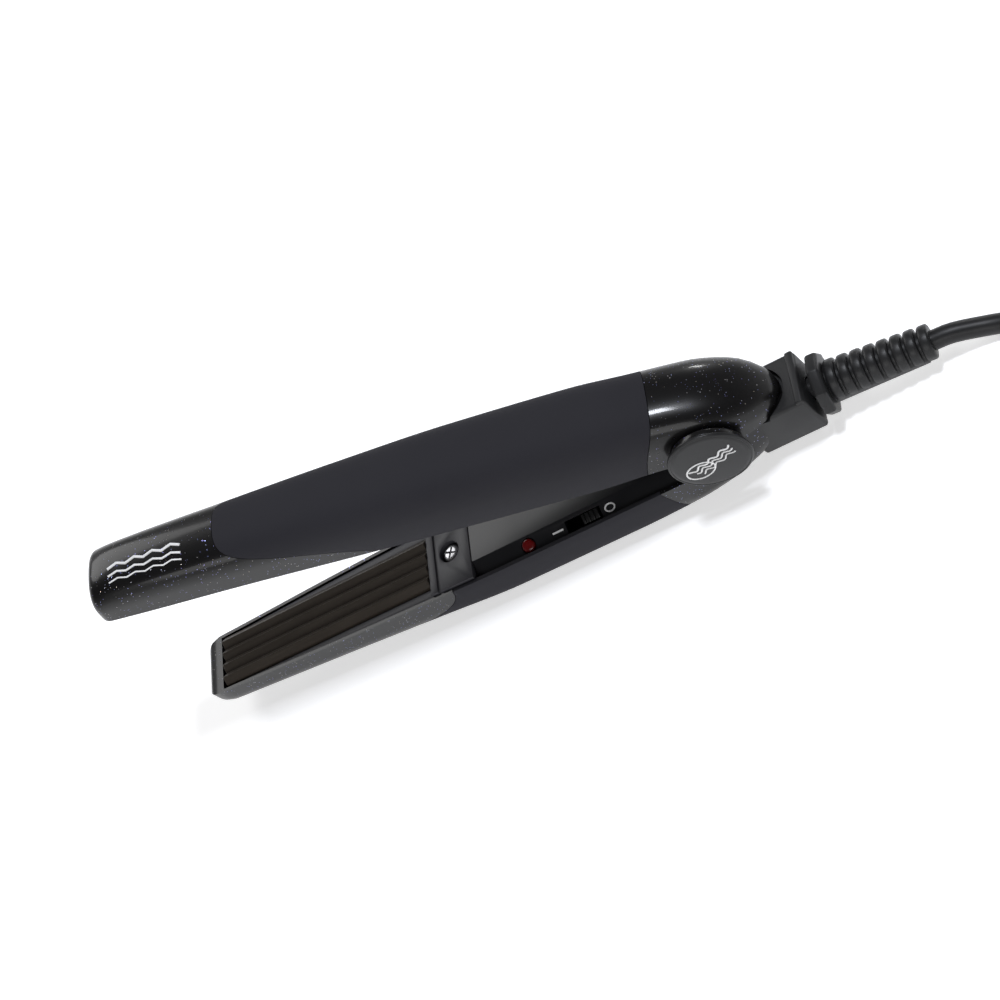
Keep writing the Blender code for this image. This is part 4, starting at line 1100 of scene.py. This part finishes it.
def mains_cord(look):
    """The 1.8 m cord as one curve."""
    line = smooth_line([tuple(p) for p in cord_route()], 3)
    cord = wire("whole_cord", line, CORD / 2.0, LOWER, look, "lower_arm", sides=5)
    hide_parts("mains_cord", "cord_hank", "plug_cord")
    return cord


def cord_tie(look):
    """The strap round the hank's waist, with three ribs on its near side."""
    top = HANK_TOP
    wide = HANK_WAIST + CORD / 2.0 + 2.2
    low, high = (HANK_X - 5.0, -wide - 1.2, FLOOR + 0.02), (HANK_X + 5.0, wide + 1.2, top + 1.6)
    strap = box("strap", low, high, 1.1, 4)
    low, high = (HANK_X - 9.0, -wide, FLOOR - 3.0), (HANK_X + 9.0, wide, top + GAP)
    carve(strap, "DIFFERENCE", box("inside", low, high, 0.9, 3))
    for i in range(3):
        x = HANK_X - 3.3 + 3.3 * i
        rib = [(x, -wide - 1.22, FLOOR + 3.0), (x, -wide - 1.22, top - 1.0)]
        wire(f"strap_rib_{i + 1}", rib, 0.18, LOWER, look, "lower_arm")
    return piece(strap, LOWER, look, "lower_arm", ("cord_tie",))


def plug(looks):
    """A flat two-pin plug lying on the hank: a rounded body with grip ridges, and two sleeved pins."""
    top = HANK_TOP
    middle = top + PLUG_RISE
    x0 = HANK_X + PLUG_START
    # Distance along the plug, half its width and half its height.
    stations = [(0.0, 3.2, 3.2), (0.8, 3.8, 3.8), (7.0, 4.2, 4.2), (14.0, 7.0, 5.6)]
    stations += [(19.0, 8.3, 6.3), (24.0, 9.0, 6.6), (31.0, 9.2, 6.6), (33.0, 11.2, 6.6)]
    stations += [(34.4, 12.4, 6.6), (37.2, 12.6, 6.6), (38.0, 12.0, 6.1)]
    loops = []
    for x, half, tall in stations:
        ring = []
        for i in range(40):
            a = 2.0 * math.pi * i / 40
            y = half * math.copysign(abs(math.cos(a)) ** 0.55, math.cos(a))
            z = tall * math.copysign(abs(math.sin(a)) ** 0.62, math.sin(a))
            ring.append((x0 + x, y, middle + z))
        loops.append(ring)
    body = loft("plug_shell", loops)
    for i in range(5):
        x = x0 + 17.0 + 2.6 * i
        for side in (-1.0, 1.0):
            low, high = sorted((side * 8.1, side * 12.0))
            corners = (x - 0.45, low, middle - 9.0), (x + 0.45, high, middle + 9.0)
            carve(body, "DIFFERENCE", box("grip_groove", *corners))
    round_edges(body, 0.18, 2, 45.0)
    made = [piece(body, LOWER, looks["cord"], "lower_arm", ("plug_body",), 35.0)]
    for side, name in ((-1.0, "near"), (1.0, "far")):
        start = (x0 + 38.3, side * 9.3, middle)
        profile = [(0.0, 1.9), (17.0, 1.9), (17.8, 1.7), (18.3, 1.35), (18.6, 0.8)]
        pin = turned(f"pin_{name}", start, BACKWARDS, profile, 32)
        made.append(piece(pin, LOWER, looks["nickel"], "lower_arm", (f"plug_pin_{name}",)))
        sleeve = turned(f"pin_sleeve_{name}", start, BACKWARDS, [(-0.2, 2.0), (8.6, 2.0), (9.0, 1.92)], 32)
        made.append(piece(sleeve, LOWER, looks["cord"], "lower_arm", ()))
    return made


def repaint(looks):
    """Gives the CAD nodes that still show their materials."""
    chosen = {
        "hinge_pin": "steel", "hinge_cap_far": "cap", "opening_spring": "steel", "cord_clamp": "carrier",
        "clamp_screw_near": "steel", "clamp_screw_far": "steel", "circuit_board": "board",
        "switch_body": "switch", "thermal_fuse": "steel", "indicator_led": "lamp",
        "lower_heater": "heater", "upper_heater": "heater", "lower_heater_clip": "steel",
        "upper_heater_clip": "steel", "live_lead": "brown", "neutral_lead": "blue",
        "upper_lead_near": "brown", "upper_lead_far": "brown",
    }
    for node, look in chosen.items():
        materials = frame["nodes"][node].data.materials
        materials.clear()
        materials.append(looks[look])


def main():
    """Makes the camera and the cord, then every other piece."""
    make_camera()
    looks = make_looks()
    cord = mains_cord(looks["cord"])
    tie = cord_tie(looks["tie"])
    plug_pieces = plug(looks)
    strain_relief(looks["boot"])

    lower_shell(looks["lacquer"])
    tail_block(looks["tail"])
    lower_grip(looks["grip"])
    back = PLATE_FACE - PLATE_THICK
    crimp_plate("plate_lower", "lower_crimp_plate", PLATE_FACE, back, LOWER, looks["plate"], "lower_arm")
    floor = LOWER_LEDGE + GAP
    plate_carrier(
        "tray_lower", "lower_plate_carrier", lower_at, PLATE_FACE, PLATE_FACE, floor, -1.0,
        LOWER, looks["carrier"], "lower_arm",
    )
    top = Vector((SCREW_X, 0.0, -6.7))
    phillips_screw("screw_lower", "lower_carrier_screw", top, DOWN, LOWER, looks["screw"], "lower_arm")
    inner_cover(looks["cover"])
    switch_marks(looks["print"])
    switch_knob(looks["switch"])
    indicator(looks)
    hinge_cap(looks["cap"])
    cap_motif(looks["print"])

    upper_shell(looks["lacquer"])
    upper_grip(looks["grip"])
    tip_motif(looks["print"])
    face = PLATE_FACE + PLATE_GAP
    back = face + PLATE_THICK
    crimp_plate("plate_upper", "upper_crimp_plate", face, back, UPPER, looks["plate"], "upper_arm")
    plate_carrier(
        "tray_upper", "upper_plate_carrier", upper_at, face, face + 0.4, UPPER_LEDGE - 0.5, 1.0,
        UPPER, looks["carrier"], "upper_arm",
    )
    top = Vector((SCREW_X, 0.0, -4.6))
    phillips_screw("screw_upper", "upper_carrier_screw", top, UP, UPPER, looks["screw"], "upper_arm")
    upper_cover(looks["cover"])
    repaint(looks)

    make_floor()
    make_world()
    make_light("key", (0.3, 0.05, 0.95), (0.16, 0.14), 5.5, (0.9, 0.93, 1.0))
    make_light("left", (-0.6, 0.6, 0.75), (0.6, 0.5), 3.6)
    make_light("front", (-0.1, -1.0, 0.55), (0.8, 0.5), 3.6)
    make_light("back", (0.35, 1.0, 0.38), (0.12, 0.08), 1.0)


main()
